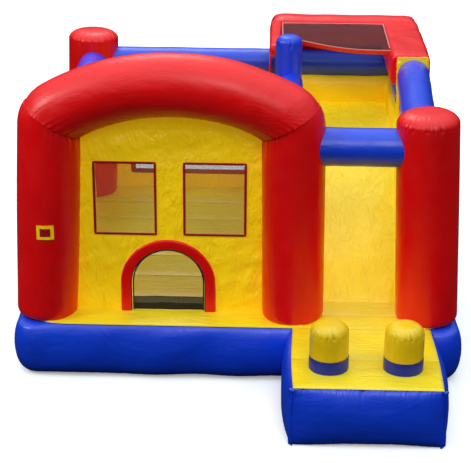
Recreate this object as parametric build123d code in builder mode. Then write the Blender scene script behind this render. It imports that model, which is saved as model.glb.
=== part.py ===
from build123d import *
from math import asin, cos, degrees, radians, sin
import os

# Inflatable bounce house with a slide: air-filled skins on an air-filled base, and the blower
# that keeps them up. Millimetres. +X is to the right seen from the front, -Y is the front, +Z is up.
# The origin is on the ground under the middle of the whole thing, blower included.

# ---- driving dimensions -------------------------------------------------------------------

skin = 2.0  # coated fabric, as thick as makes a solid of it weigh what the real sheet weighs
base_height = 475.0
base_half_width = 1840.0
row_y = -1260.0  # the row of the three front columns; depths below are counted from it
base_front_y = row_y - 330.0
base_back_y = row_y + 3190.0
base_corner = 200.0
base_top_round = 40.0
base_bottom_round = 110.0
deck_inset = 60.0  # from the side wall's bulge to the edge of the bounce floor

column_radius = 250.0
column_dome = 105.0
left_foot = (-1575.0, row_y, base_height)
left_head = (-1485.0, row_y, 2150.0)
middle_foot = (455.0, row_y, base_height)
middle_head = (425.0, row_y, 2150.0)
right_foot = (1555.0, row_y, base_height)
right_head = (1475.0, row_y, 2165.0)
back_foot = (-1555.0, row_y + 2840.0, base_height)
back_head = (-1505.0, row_y + 2840.0, 2070.0)
back_column_radius = 240.0
arch_rise = 266.0  # centre line, from the column heads to the crown

post_foot = (397.0, row_y + 1800.0, base_height)
post_head = (397.0, row_y + 1800.0, 2305.0)
post_radius = 120.0
post_dome = 70.0

landing_x = (385.0, 1630.0)
landing_front_y = row_y - 1345.0
landing_corner = 60.0
bumper_x = (721.0, 1287.0)
bumper_y = row_y - 940.0
bumper_radius = 150.0
bumper_band_height = 110.0
bumper_height = 305.0
bumper_dome = 105.0

wall_y = row_y + 5.0  # front face of the front wall
wall_middle_x = -549.0
window_offset = 361.0
window_size = (490.0, 606.0)
window_z = 1469.0
trim_width = 26.0
trim_thickness = 4.0
door_x = -570.0
door_radius = 300.0
door_spring_z = 730.0
door_band = 87.0
door_band_thickness = 22.0
flap_gap = 6.0
flap_lift = 10.0
flap_thickness = 3.0

left_wall_x = -1500.0
back_wall_y = row_y + 2958.0
beam_z = 1848.0
beam_radius = 130.0

slide_x = (615.0, 1355.0)
slide_foot_y = row_y + 232.0
crest_y = row_y + 1400.0
platform_z = 1480.0
bolster_width = 90.0
bolster_height = 220.0
outer_wall_x = (1445.0, 1675.0)
outer_wall_top = 1900.0
tower_x = (400.0, 1675.0)
tower_back_y = row_y + 3130.0

canopy_z = 2250.0
arm_x = (1305.0, 1645.0)
arm_front_y = row_y + 1610.0
back_tube_y = (row_y + 2820.0, row_y + 3150.0)
left_arm_x = (225.0, 335.0)

blower_x = -900.0
blower_y = row_y + 3695.0
blower_z = 230.0
volute_radius = 170.0
volute_half_width = 100.0
shell_wall = 4.0
nozzle_z = 130.0
nozzle_radius = 70.0
nozzle_end_y = row_y + 3440.0

os.makedirs("parts", exist_ok=True)


def save(piece, name):
    piece.label = name
    export_step(piece, f"parts/{name}.step")


# ---- shapes that several pieces share -----------------------------------------------------
# Each shape is a function of an inset: 0 gives the outside, skin the air inside it, and a negative
# inset the room that a neighbour's air must leave for it.


def base_shape(inset):
    """The whole base block."""
    depth = base_back_y - base_front_y
    middle = (base_back_y + base_front_y) / 2
    with BuildPart(mode=Mode.PRIVATE) as shape:
        with BuildSketch(Plane.XY.offset(inset)):
            with Locations((0, middle)):
                RectangleRounded(
                    2 * (base_half_width - inset), depth - 2 * inset, base_corner - inset
                )
        extrude(amount=base_height - 2 * inset)
        fillet(shape.edges().group_by(Axis.Z)[-1], base_top_round - inset)
        fillet(shape.edges().group_by(Axis.Z)[0], base_bottom_round - inset)
    return shape.part


def domed_column(foot, head, radius, dome):
    """A column from foot to its rim at head, under a flattened dome."""

    def column(inset):
        base, rim = Vector(*foot), Vector(*head)
        axis = (rim - base).normalized()
        side = Vector(axis.Z, 0, -axis.X)
        height = (rim - base).length
        inner = radius - inset
        rise = dome - inset
        with BuildPart(mode=Mode.PRIVATE) as shape:
            with BuildSketch(Plane(origin=base, x_dir=side, z_dir=(0, -1, 0))):
                with BuildLine():
                    Polyline((0, height + rise), (0, -60), (inner, -60), (inner, height))
                    ThreePointArc(
                        (inner, height), dome_point(inner, rise, height), (0, height + rise)
                    )
                make_face()
            revolve(axis=Axis(base, axis))
            split(bisect_by=Plane.XY.offset(base_height + inset), keep=Keep.TOP)
        return shape.part

    return column


def dome_point(radius, rise, height):
    """The point half-way along a dome's arc, from its rim to its top."""
    ball = (radius**2 + rise**2) / (2 * rise)
    half = asin(radius / ball) / 2
    return (ball * sin(half), height + rise - ball + ball * cos(half))


half_span = (middle_head[0] - left_head[0]) / 2
arch_middle_x = (middle_head[0] + left_head[0]) / 2
arch_line_radius = (half_span**2 + arch_rise**2) / (2 * arch_rise)
arch_centre = (arch_middle_x, row_y, left_head[2] + arch_rise - arch_line_radius)
arch_half_turn = degrees(asin(half_span / arch_line_radius))


def mitre_plane(foot, head, side, inset):
    """Half-way between a column's direction and the arch's, moved along the arch by inset."""
    up = (Vector(*head) - Vector(*foot)).normalized()
    along = Vector(side * (arch_line_radius - arch_rise), 0, half_span).normalized()
    normal = (up + along).normalized()
    return Plane(origin=Vector(*head) + normal * inset, z_dir=normal)


def mitred_column(foot, head, side):
    """A front column without a dome, cut where the arch begins."""

    def column(inset):
        base, top = Vector(*foot), Vector(*head)
        axis = (top - base).normalized()
        with BuildPart(mode=Mode.PRIVATE) as shape:
            with BuildSketch(Plane(origin=base - axis * 60, z_dir=axis)):
                Circle(column_radius - inset)
            extrude(amount=(top - base).length + 400)
            split(bisect_by=Plane.XY.offset(base_height + inset), keep=Keep.TOP)
            split(bisect_by=mitre_plane(foot, head, side, -inset), keep=Keep.BOTTOM)
        return shape.part

    return column


def arch_shape(inset):
    """The tube over the front wall: part of a ring, cut at both columns."""
    turn = arch_half_turn + 15
    radial = (-sin(radians(turn)), 0, cos(radians(turn)))
    tangent = (cos(radians(turn)), 0, sin(radians(turn)))
    with BuildPart(mode=Mode.PRIVATE) as shape:
        with BuildSketch(Plane(origin=arch_centre, x_dir=radial, z_dir=tangent)):
            with Locations((arch_line_radius, 0)):
                Circle(column_radius - inset)
        revolve(axis=Axis(arch_centre, (0, 1, 0)), revolution_arc=2 * turn)
        split(bisect_by=mitre_plane(left_foot, left_head, 1, inset), keep=Keep.TOP)
        split(bisect_by=mitre_plane(middle_foot, middle_head, -1, inset), keep=Keep.TOP)
    return shape.part


def tube(start, end, radius):
    """A straight round tube from start to end."""

    def straight(inset):
        origin, way = Vector(*start), Vector(*end) - Vector(*start)
        with BuildPart(mode=Mode.PRIVATE) as shape:
            with BuildSketch(Plane(origin=origin + way.normalized() * inset, z_dir=way)):
                Circle(radius - inset)
            extrude(amount=way.length - 2 * inset)
        return shape.part

    return straight


def block(x, y, z, corner=0.0):
    """A block between the given limits, with its edges along X rounded."""

    def rounded(inset):
        middle = ((y[0] + y[1]) / 2, (z[0] + z[1]) / 2)
        size = (y[1] - y[0] - 2 * inset, z[1] - z[0] - 2 * inset)
        with BuildPart(mode=Mode.PRIVATE) as shape:
            with BuildSketch(Plane.YZ.offset(x[0] + inset)):
                with Locations(middle):
                    if corner:
                        RectangleRounded(*size, corner - inset)
                    else:
                        Rectangle(*size)
            extrude(amount=x[1] - x[0] - 2 * inset)
        return shape.part

    return rounded


def prism(points, x):
    """A side outline of depth and height points, as wide as the given limits."""

    def wide(inset):
        with BuildPart(mode=Mode.PRIVATE) as shape:
            with BuildSketch(Plane.YZ.offset(x[0] + inset)):
                with BuildLine():
                    Polyline(*points, close=True)
                make_face()
                if inset:
                    offset(amount=-inset, kind=Kind.INTERSECTION)
            extrude(amount=x[1] - x[0] - 2 * inset)
        return shape.part

    return wide


def hollow(shape, *neighbours):
    """Add an air chamber to the piece being built: a skin that ends against its neighbours."""
    for inset, mode in ((0.0, Mode.ADD), (skin, Mode.SUBTRACT)):
        with BuildPart(mode=Mode.PRIVATE) as layer:
            add(shape(inset))
            for neighbour in neighbours:
                add(neighbour(-inset), mode=Mode.SUBTRACT)
        add(layer.part, mode=mode)


def sheet_on(plane_offset_y, thickness):
    """The plane of an upright sheet that faces the front, with X across and Z up."""
    return Plane(origin=(0, plane_offset_y + thickness, 0), x_dir=(1, 0, 0), z_dir=(0, -1, 0))


def doorway(radius, foot_z):
    """The outline of an arch of the given radius on two straight legs, in an upright sketch."""
    with BuildSketch(mode=Mode.PRIVATE) as outline:
        with BuildLine():
            Polyline(
                (door_x + radius, door_spring_z),
                (door_x + radius, foot_z),
                (door_x - radius, foot_z),
                (door_x - radius, door_spring_z),
            )
            ThreePointArc(
                (door_x - radius, door_spring_z),
                (door_x, door_spring_z + radius),
                (door_x + radius, door_spring_z),
            )
        make_face()
    return outline.sketch


def frame_outline(size, width):
    """A rectangular band of the given width round an opening of the given size."""
    Rectangle(size[0] + width, size[1] + width)
    Rectangle(size[0] - width, size[1] - width, mode=Mode.SUBTRACT)


left_column = mitred_column(left_foot, left_head, 1)
middle_column = mitred_column(middle_foot, middle_head, -1)
right_column = domed_column(right_foot, right_head, column_radius, column_dome)
back_column = domed_column(back_foot, back_head, back_column_radius, column_dome)
post = domed_column(post_foot, post_head, post_radius, post_dome)

# ---- base ---------------------------------------------------------------------------------

deck_size = (2 * (base_half_width - deck_inset), base_back_y - base_front_y - 2 * deck_inset)
base_middle_y = (base_back_y + base_front_y) / 2
inlet_radius = nozzle_radius + 4.0
inlet_at = (blower_x, nozzle_z)
ground_inset = base_bottom_round + 10.0
deck_split_x = (middle_foot[0] + slide_x[0]) / 2

with BuildPart() as base_side_wall:
    hollow(base_shape)
    with BuildSketch(Plane.XY.offset(base_height - 3 * skin)):
        with Locations((0, base_middle_y)):
            RectangleRounded(*deck_size, base_corner - deck_inset)
    extrude(amount=6 * skin, mode=Mode.SUBTRACT)
    with BuildSketch(Plane.XY.offset(-skin)):
        with Locations((0, base_middle_y)):
            RectangleRounded(
                2 * (base_half_width - ground_inset),
                base_back_y - base_front_y - 2 * ground_inset,
                base_corner - ground_inset,
            )
    extrude(amount=4 * skin, mode=Mode.SUBTRACT)
    with BuildSketch(sheet_on(base_back_y, 2 * skin)):
        with Locations(inlet_at):
            Circle(inlet_radius - skin)
    extrude(amount=base_bottom_round, mode=Mode.SUBTRACT)

with BuildPart() as bounce_floor:
    with BuildSketch(Plane.XY.offset(base_height - skin)):
        with Locations((0, base_middle_y)):
            RectangleRounded(*deck_size, base_corner - deck_inset)
        with Locations((deck_split_x, base_middle_y)):
            Rectangle(
                base_half_width * 2, deck_size[1] + 1, align=(Align.MIN, Align.CENTER),
                mode=Mode.SUBTRACT,
            )
    extrude(amount=skin)

baffle_count = 6
baffle_pitch = 452.0
first_baffle_y = row_y + 280.0
baffle_half_width = base_half_width - ground_inset - 5.0
air_hole_radius = 90.0

# ---- landing ------------------------------------------------------------------------------

landing_middle = ((landing_x[0] + landing_x[1]) / 2, (landing_front_y + base_front_y + 40) / 2)
landing_size = (landing_x[1] - landing_x[0], base_front_y + 40 - landing_front_y)


def landing_shape(inset):
    """The landing pad's block, up to the base."""
    with BuildPart(mode=Mode.PRIVATE) as shape:
        with BuildSketch(Plane.XY.offset(inset)):
            with Locations(landing_middle):
                Rectangle(landing_size[0] - 2 * inset, landing_size[1] - 2 * inset)
        extrude(amount=base_height - 2 * inset)
        front_edges = shape.edges().filter_by(Axis.Z).group_by(Axis.Y)[0]
        fillet(front_edges, landing_corner - inset)
    return shape.part


deck_cut = (landing_size[0] - 2 * deck_inset, landing_size[1] + deck_inset)
deck_cut_middle = (landing_middle[0], landing_middle[1] + 1.5 * deck_inset)

with BuildPart() as landing_side_wall:
    hollow(landing_shape, base_shape)
    for height in (base_height - 2 * skin, -2 * skin):
        with BuildSketch(Plane.XY.offset(height)):
            with Locations(deck_cut_middle):
                Rectangle(*deck_cut)
        extrude(amount=4 * skin, mode=Mode.SUBTRACT)

with BuildPart() as ground_sheets:
    with BuildSketch():
        with Locations((0, base_middle_y)):
            RectangleRounded(
                2 * (base_half_width - ground_inset),
                base_back_y - base_front_y - 2 * ground_inset,
                base_corner - ground_inset,
            )
    extrude(amount=skin)
    with BuildPart(mode=Mode.PRIVATE) as landing_sheet:
        with BuildSketch():
            with Locations(deck_cut_middle):
                Rectangle(*deck_cut)
        extrude(amount=skin)
        add(base_shape(0.0), mode=Mode.SUBTRACT)
    add(landing_sheet.part)

with BuildPart() as slide_run_out:
    with BuildSketch(Plane.XY.offset(base_height - skin)):
        with Locations((0, base_middle_y)):
            RectangleRounded(*deck_size, base_corner - deck_inset)
        with Locations((deck_split_x, base_middle_y)):
            Rectangle(
                base_half_width * 2, deck_size[1] + 1, align=(Align.MAX, Align.CENTER),
                mode=Mode.SUBTRACT,
            )
    extrude(amount=skin)
    with BuildPart(mode=Mode.PRIVATE) as landing_sheet:
        with BuildSketch(Plane.XY.offset(base_height - skin)):
            with Locations(deck_cut_middle):
                Rectangle(*deck_cut)
        extrude(amount=skin)
        add(base_shape(0.0), mode=Mode.SUBTRACT)
    add(landing_sheet.part)

with BuildPart() as air_baffles:
    for number in range(baffle_count):
        with BuildSketch(sheet_on(first_baffle_y + number * baffle_pitch, skin)):
            with Locations((0, base_height / 2)):
                Rectangle(2 * baffle_half_width, base_height - 2 * skin)
                with GridLocations(baffle_half_width / 2, 1, 4, 1):
                    Circle(air_hole_radius, mode=Mode.SUBTRACT)
        extrude(amount=skin)
    with BuildSketch(sheet_on(row_y - 740.0, skin)):
        with Locations((landing_middle[0], base_height / 2)):
            Rectangle(landing_size[0] - 4 * deck_inset, base_height - 2 * skin)
            with GridLocations(landing_size[0] / 3, 1, 2, 1):
                Circle(air_hole_radius, mode=Mode.SUBTRACT)
    extrude(amount=skin)

with BuildPart() as landing_bumpers:
    for x in bumper_x:
        band_top = base_height + bumper_band_height
        seam = base_height + bumper_height - 15.0
        hollow(
            domed_column((x, bumper_y, band_top), (x, bumper_y, seam), bumper_radius, bumper_dome),
            tube((x, bumper_y, 0), (x, bumper_y, band_top), bumper_radius + 20),
        )

with BuildPart() as bumper_bands:
    for x in bumper_x:
        with BuildSketch(Plane.XY.offset(base_height)):
            with Locations((x, bumper_y)):
                Circle(bumper_radius)
                Circle(bumper_radius - skin, mode=Mode.SUBTRACT)
        extrude(amount=bumper_band_height)

# ---- columns and arch ---------------------------------------------------------------------

with BuildPart() as left_front_column:
    hollow(left_column)

with BuildPart() as middle_front_column:
    hollow(middle_column)

with BuildPart() as right_front_column:
    hollow(right_column)

with BuildPart() as back_left_column:
    hollow(back_column)

with BuildPart() as front_arch:
    hollow(arch_shape)

with BuildPart() as tower_post:
    hollow(post)

patch_x = (-1590.0, -1453.0)
patch_z = (1200.0, 1320.0)
patch_rim = 20.0

with BuildPart() as column_patch:
    add(left_column(-skin))
    add(left_column(0.0), mode=Mode.SUBTRACT)
    with BuildSketch(sheet_on(row_y - column_radius - 50.0, 0.0), mode=Mode.PRIVATE) as outline:
        with Locations(((patch_x[0] + patch_x[1]) / 2, (patch_z[0] + patch_z[1]) / 2)):
            Rectangle(patch_x[1] - patch_x[0], patch_z[1] - patch_z[0])
    extrude(outline.sketch, amount=-200, mode=Mode.INTERSECT)

# ---- beams --------------------------------------------------------------------------------

right_beam_front = (1418.0, row_y + 100.0, 2060.0)
right_beam_back = (1502.0, arm_front_y - skin, 2070.0)
right_beam_radius = 140.0
back_beam_y = back_wall_y - beam_radius
slide_beam_z = 1931.0
slide_beam_radius = 150.0
inner_beam_x = 410.0
inner_beam_z = 1930.0
inner_beam_radius = 115.0
left_beam_x = -1485.0

with BuildPart() as front_slide_beam:
    hollow(
        tube(
            (middle_head[0], row_y, slide_beam_z), (right_head[0], row_y, slide_beam_z),
            slide_beam_radius,
        ),
        middle_column,
        right_column,
    )

left_beam_line = tube(
    (left_beam_x, row_y, beam_z), (left_beam_x, back_head[1], beam_z), beam_radius
)

with BuildPart() as left_beam:
    hollow(left_beam_line, left_column, back_column)

back_beam_line = tube(
    (back_head[0], back_beam_y, beam_z), (arm_x[1], back_beam_y, beam_z), beam_radius
)

with BuildPart() as back_beam:
    hollow(back_beam_line, back_column)

with BuildPart() as inner_beam:
    hollow(
        tube(
            (inner_beam_x, row_y, inner_beam_z), (inner_beam_x, post_foot[1], inner_beam_z),
            inner_beam_radius,
        ),
        middle_column,
        post,
    )



def right_beam_line(inset):
    """The beam from the right column back to the canopy's arm, cut square at the arm."""
    start = Vector(*right_beam_front)
    way = Vector(*right_beam_back) - start
    with BuildPart(mode=Mode.PRIVATE) as shape:
        with BuildSketch(Plane(origin=start + way.normalized() * inset, z_dir=way)):
            Circle(right_beam_radius - inset)
        extrude(amount=way.length + right_beam_radius)
        split(bisect_by=Plane.XZ.offset(inset - right_beam_back[1]), keep=Keep.TOP)
    return shape.part


with BuildPart() as right_beam:
    hollow(right_beam_line, right_column)

# ---- slide and tower ----------------------------------------------------------------------

tower_wall_front_y = back_wall_y + skin
slide_points = (
    (slide_foot_y, base_height),
    (crest_y, platform_z),
    (crest_y, base_height),
)
stack_front_y = arm_front_y
left_bolster_points = (
    (slide_foot_y, base_height),
    (slide_foot_y + 60.0, base_height + bolster_height),
    (crest_y, platform_z + bolster_height),
    (crest_y, base_height),
)
right_bolster_points = (
    *left_bolster_points[:3],
    (stack_front_y, platform_z + bolster_height),
    (stack_front_y, platform_z),
    (crest_y, platform_z),
    left_bolster_points[3],
)
stack_back_y = back_beam_y - beam_radius

with BuildPart() as slide_ramp:
    hollow(prism(slide_points, slide_x))

with BuildPart() as slide_bolsters:
    hollow(prism(left_bolster_points, (inner_beam_x + skin / 2, slide_x[0])), middle_column)
    hollow(prism(right_bolster_points, (slide_x[1], slide_x[1] + bolster_width)), right_column)

platform_block = block(tower_x, (crest_y, back_wall_y), (base_height, platform_z))

with BuildPart() as slide_outer_wall:
    hollow(
        block(outer_wall_x, (row_y + 100.0, arm_front_y - skin), (base_height, outer_wall_top)),
        right_column,
        right_beam_line,
        platform_block,
    )

with BuildPart() as platform:
    hollow(platform_block, post)

with BuildPart() as tower_back_wall:
    hollow(
        block(tower_x, (tower_wall_front_y, tower_back_y), (base_height, beam_z + beam_radius), 60.0)
    )

tower_side = (slide_x[1], tower_x[1] - 30.0)
side_beam_x = tower_side[0] + 125.0
side_beam_line = tube(
    (side_beam_x, stack_front_y, beam_z), (side_beam_x, back_beam_y, beam_z), 125.0
)

with BuildPart() as platform_bolsters:
    hollow(
        block(
            (tower_x[0] + 130.0, tower_side[1]), (stack_back_y, back_wall_y),
            (platform_z, beam_z), 40.0,
        ),
        back_beam_line,
        side_beam_line,
    )
    hollow(
        block(tower_side, (stack_front_y, stack_back_y), (platform_z, beam_z), 40.0),
        side_beam_line,
        right_beam_line,
    )

with BuildPart() as tower_side_beam:
    hollow(side_beam_line, back_beam_line, right_beam_line)

arm_z = (beam_z + beam_radius, canopy_z)

with BuildPart() as canopy_tubes:
    hollow(block((left_arm_x[0], arm_x[1]), back_tube_y, arm_z, 110.0))
    hollow(block(arm_x, (arm_front_y, back_tube_y[0]), arm_z, 40.0))
    hollow(
        block(left_arm_x, (post_foot[1] + 130.0, back_tube_y[0]), (canopy_z - 110.0, canopy_z), 40.0)
    )

mesh_x = (left_arm_x[1], arm_x[0])
mesh_front_y = row_y + 1840.0
mesh_z = canopy_z - 20.0
hem_drop = 60.0

with BuildPart() as canopy_mesh:
    with BuildSketch(Plane.XY.offset(mesh_z)):
        with Locations(((mesh_x[0] + mesh_x[1]) / 2, (mesh_front_y + back_tube_y[0]) / 2)):
            Rectangle(mesh_x[1] - mesh_x[0], back_tube_y[0] - mesh_front_y)
    extrude(amount=skin)
    add(post(0.0), mode=Mode.SUBTRACT)

with BuildPart() as canopy_hems:
    with BuildSketch(sheet_on(mesh_front_y - skin, skin)):
        with Locations((mesh_x[0], mesh_z + skin)):
            Rectangle(mesh_x[1] - mesh_x[0], hem_drop, align=(Align.MIN, Align.MAX))
    extrude(amount=skin)
    add(post(0.0), mode=Mode.SUBTRACT)
    with BuildSketch(sheet_on(arm_front_y - skin, skin)):
        with Locations((arm_x[1], outer_wall_top)):
            Rectangle(arm_x[1] - arm_x[0], canopy_z - outer_wall_top, align=(Align.MAX, Align.MIN))
    extrude(amount=skin)

entrance_x = 226.0
entrance_y = (row_y + 1935.0, stack_back_y - 10.0)
entrance_band = 80.0
entrance_foot_z = 740.0
entrance_top_z = canopy_z - 110.0

climb_points = ((150.0, base_height), (400.0, base_height), (400.0, platform_z), (330.0, platform_z))
climb_y = (row_y + 1930.0, back_wall_y - 60.0)


def climb_shape(inset):
    """The steep pad up to the platform, on the chamber's side of the tower."""
    with BuildPart(mode=Mode.PRIVATE) as shape:
        with BuildSketch(Plane.XZ.offset(-(climb_y[1] - inset))):
            with BuildLine():
                Polyline(*climb_points, close=True)
            make_face()
            if inset:
                offset(amount=-inset, kind=Kind.INTERSECTION)
        extrude(amount=climb_y[1] - climb_y[0] - 2 * inset)
    return shape.part


with BuildPart() as climbing_wall:
    hollow(climb_shape)

step_count = 4
step_pitch = 220.0
step_radius = 50.0
step_margin = 10.0
climb_lean = (climb_points[3][0] - climb_points[0][0]) / (platform_z - base_height)

with BuildPart() as climbing_steps:
    for number in range(step_count):
        rise = (number + 0.8) * step_pitch
        x = climb_points[0][0] + rise * climb_lean
        start = (x, entrance_y[0] + entrance_band + step_margin, base_height + rise)
        end = (x, entrance_y[1] - entrance_band - step_margin, base_height + rise)
        hollow(tube(start, end, step_radius), climb_shape)

with BuildPart() as entrance_frame:
    with BuildSketch(Plane.YZ.offset(entrance_x)):
        with Locations(((entrance_y[0] + entrance_y[1]) / 2, entrance_foot_z)):
            Rectangle(
                entrance_y[1] - entrance_y[0], entrance_top_z - entrance_foot_z,
                align=(Align.CENTER, Align.MIN),
            )
            Rectangle(
                entrance_y[1] - entrance_y[0] - 2 * entrance_band,
                entrance_top_z - entrance_foot_z - entrance_band,
                align=(Align.CENTER, Align.MIN), mode=Mode.SUBTRACT,
            )
    extrude(amount=skin)
    add(climb_shape(0.0), mode=Mode.SUBTRACT)

# ---- walls, windows and door --------------------------------------------------------------

wall_bottom = base_height
wall_top = left_head[2] + arch_rise - column_radius * 0.9
window_places = [(wall_middle_x + offset_x, window_z) for offset_x in (-window_offset, window_offset)]

with BuildPart() as front_wall:
    with BuildSketch(sheet_on(wall_y, skin)):
        with Locations(((left_foot[0] + middle_foot[0]) / 2, wall_bottom)):
            Rectangle(
                middle_foot[0] - left_foot[0], wall_top - wall_bottom,
                align=(Align.CENTER, Align.MIN),
            )
        with Locations(window_places):
            Rectangle(*window_size, mode=Mode.SUBTRACT)
        add(doorway(door_radius, wall_bottom - 1), mode=Mode.SUBTRACT)
    extrude(amount=skin)
    for neighbour in (left_column, middle_column, arch_shape):
        add(neighbour(0.0), mode=Mode.SUBTRACT)

with BuildPart() as door_arch_band:
    with BuildSketch(sheet_on(wall_y - door_band_thickness, door_band_thickness)):
        add(doorway(door_radius + door_band, base_height))
        add(doorway(door_radius, base_height - 1), mode=Mode.SUBTRACT)
    extrude(amount=door_band_thickness)

flap_y = wall_y + 2 * skin
with BuildPart() as door_flap:
    with BuildSketch(sheet_on(flap_y, flap_thickness)):
        add(doorway(door_radius - flap_gap, base_height + flap_lift))
    extrude(amount=flap_thickness)

side_window_size = (1500.0, 760.0)
side_window_middle = (row_y + 1420.0, 1240.0)

with BuildPart() as left_wall:
    with BuildSketch(Plane.YZ.offset(left_wall_x)):
        with Locations(((row_y + back_head[1]) / 2, wall_bottom)):
            Rectangle(
                back_head[1] - row_y, beam_z - wall_bottom, align=(Align.CENTER, Align.MIN)
            )
        with Locations(side_window_middle):
            Rectangle(*side_window_size, mode=Mode.SUBTRACT)
    extrude(amount=skin)
    for neighbour in (left_column, back_column, left_beam_line):
        add(neighbour(0.0), mode=Mode.SUBTRACT)

back_window_size = (1200.0, 960.0)
back_window_middle = (-555.0, 1135.0)

with BuildPart() as back_wall:
    with BuildSketch(sheet_on(back_wall_y, skin)):
        with Locations(((back_head[0] + tower_x[0]) / 2, wall_bottom)):
            Rectangle(
                tower_x[0] - back_head[0], beam_z - wall_bottom, align=(Align.CENTER, Align.MIN)
            )
        with Locations(back_window_middle):
            Rectangle(*back_window_size, mode=Mode.SUBTRACT)
    extrude(amount=skin)
    add(back_column(0.0), mode=Mode.SUBTRACT)

with BuildPart() as window_meshes:
    with BuildSketch(sheet_on(wall_y, skin)):
        with Locations(window_places):
            Rectangle(*window_size)
    extrude(amount=skin)
    with BuildSketch(Plane.YZ.offset(left_wall_x)):
        with Locations(side_window_middle):
            Rectangle(*side_window_size)
    extrude(amount=skin)
    with BuildSketch(sheet_on(back_wall_y, skin)):
        with Locations(back_window_middle):
            Rectangle(*back_window_size)
    extrude(amount=skin)

with BuildPart() as window_trims:
    with BuildSketch(sheet_on(wall_y - trim_thickness, trim_thickness)):
        with Locations(window_places):
            frame_outline(window_size, trim_width)
    extrude(amount=trim_thickness)
    with BuildSketch(Plane.YZ.offset(left_wall_x + skin)):
        with Locations(side_window_middle):
            frame_outline(side_window_size, 2 * trim_width)
    extrude(amount=trim_thickness)
    with BuildSketch(sheet_on(back_wall_y - trim_thickness, trim_thickness)):
        with Locations(back_window_middle):
            frame_outline(back_window_size, 2 * trim_width)
    extrude(amount=trim_thickness)

with BuildPart() as inner_wall:
    with BuildSketch(Plane.YZ.offset(inner_beam_x - skin / 2)):
        with Locations(((row_y + crest_y) / 2, wall_bottom)):
            Rectangle(
                crest_y - row_y, inner_beam_z - inner_beam_radius - wall_bottom,
                align=(Align.CENTER, Align.MIN),
            )
    extrude(amount=skin)
    add(middle_column(0.0), mode=Mode.SUBTRACT)

# ---- anchors, zip and air inlet -----------------------------------------------------------

tab_width = 50.0
tab_reach = 95.0  # past the base's bulge
tab_thickness = 3.0
tab_lift = 1.0
grommet_hole = 8.0
grommet_rim = 15.0
grommet_height = 5.0
tab_side_y = 1500.0
tab_back_x = 1400.0
tab_eye = 22.0  # from the tab's end to the middle of its grommet
tab_places = [  # each tab's eye, and the way from it to the base
    (-base_half_width - tab_reach + tab_eye, tab_side_y, 0),
    (base_half_width + tab_reach - tab_eye, tab_side_y, 180),
    (-tab_back_x, base_back_y + tab_reach - tab_eye, -90),
    (tab_back_x, base_back_y + tab_reach - tab_eye, -90),
]
tab_length = tab_reach + base_bottom_round

with BuildPart() as anchor_tabs:
    for x, y, turn in tab_places:
        with BuildSketch(Plane.XY.offset(tab_lift)):
            with Locations(Location((x, y, 0), (0, 0, turn))):
                with Locations(((tab_length / 2) - tab_eye, 0)):
                    Rectangle(tab_length, tab_width)
                Circle(grommet_hole + 1.5, mode=Mode.SUBTRACT)
        extrude(amount=tab_thickness)
    add(base_shape(0.0), mode=Mode.SUBTRACT)

with BuildPart() as anchor_grommets:
    for x, y, turn in tab_places:
        with BuildSketch():
            with Locations((x, y)):
                Circle(grommet_rim)
        extrude(amount=grommet_height)
    add(anchor_tabs.part, mode=Mode.SUBTRACT)
    for x, y, turn in tab_places:
        with BuildSketch():
            with Locations((x, y)):
                Circle(grommet_hole)
        extrude(amount=grommet_height, mode=Mode.SUBTRACT)

zip_x = (-330.0, 210.0)
zip_z = 250.0
zip_tape_height = 36.0
zip_tape_thickness = 1.5
zip_chain_height = 6.0
zip_chain_thickness = 3.0
zip_middle = ((zip_x[0] + zip_x[1]) / 2, zip_z)
slider_length = 30.0
slider_height = 16.0
slider_thickness = 6.0
slider_gap = 0.4
slider_start_x = zip_x[0] + 25.0
zip_tape_y = base_back_y + zip_tape_thickness
chain_y = zip_tape_y + zip_chain_thickness
slider_y = zip_tape_y + slider_gap
pull_pin_radius = 2.0
pull_length = 42.0
pull_width = 12.0
pull_y = slider_y + slider_thickness + 3.5
pull_eye_z = zip_z - 3.0
back_plane = Plane(origin=(0, 0, 0), x_dir=(1, 0, 0), z_dir=(0, -1, 0))

with BuildPart() as zip_tape:
    with BuildSketch(back_plane.offset(-zip_tape_y)):
        with Locations(zip_middle):
            Rectangle(zip_x[1] - zip_x[0], zip_tape_height)
    extrude(amount=zip_tape_thickness)
    with BuildSketch(back_plane.offset(-chain_y)):
        with Locations(zip_middle):
            Rectangle(zip_x[1] - zip_x[0], zip_chain_height)
    extrude(amount=zip_chain_thickness)

with BuildPart() as zip_slider:
    with BuildSketch(back_plane.offset(-slider_y - slider_thickness)):
        with Locations((slider_start_x, zip_z)):
            RectangleRounded(slider_length, slider_height, 3.0)
    extrude(amount=slider_thickness)
    with BuildSketch(back_plane.offset(-chain_y - slider_gap)):
        with Locations((slider_start_x, zip_z)):
            Rectangle(slider_length + 2, zip_chain_height + 2 * slider_gap)
    extrude(amount=zip_chain_thickness + 2 * slider_gap, mode=Mode.SUBTRACT)
    for side in (-1, 1):
        with BuildSketch(Plane.YZ.offset(slider_start_x + side * (pull_width / 2 + 2.5) - 1.5)):
            with Locations((slider_y + slider_thickness, pull_eye_z)):
                Rectangle(7.0, 7.0, align=(Align.MIN, Align.CENTER))
        extrude(amount=3.0)
    with BuildSketch(Plane.YZ.offset(slider_start_x - pull_width / 2 - 2.0)):
        with Locations((pull_y, pull_eye_z)):
            Circle(pull_pin_radius)
    extrude(amount=pull_width + 4.0)

with BuildPart() as zip_pull:
    with BuildSketch(Plane.YZ.offset(slider_start_x - pull_width / 2 + 0.7)):
        with Locations((pull_y, pull_eye_z)):
            Circle(pull_pin_radius + 1.0)
        with Locations((pull_y, pull_eye_z - pull_length / 2)):
            Rectangle(2.4, pull_length)
        with Locations((pull_y, pull_eye_z)):
            Circle(pull_pin_radius + 0.05, mode=Mode.SUBTRACT)
    extrude(amount=pull_width - 1.4)

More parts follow.
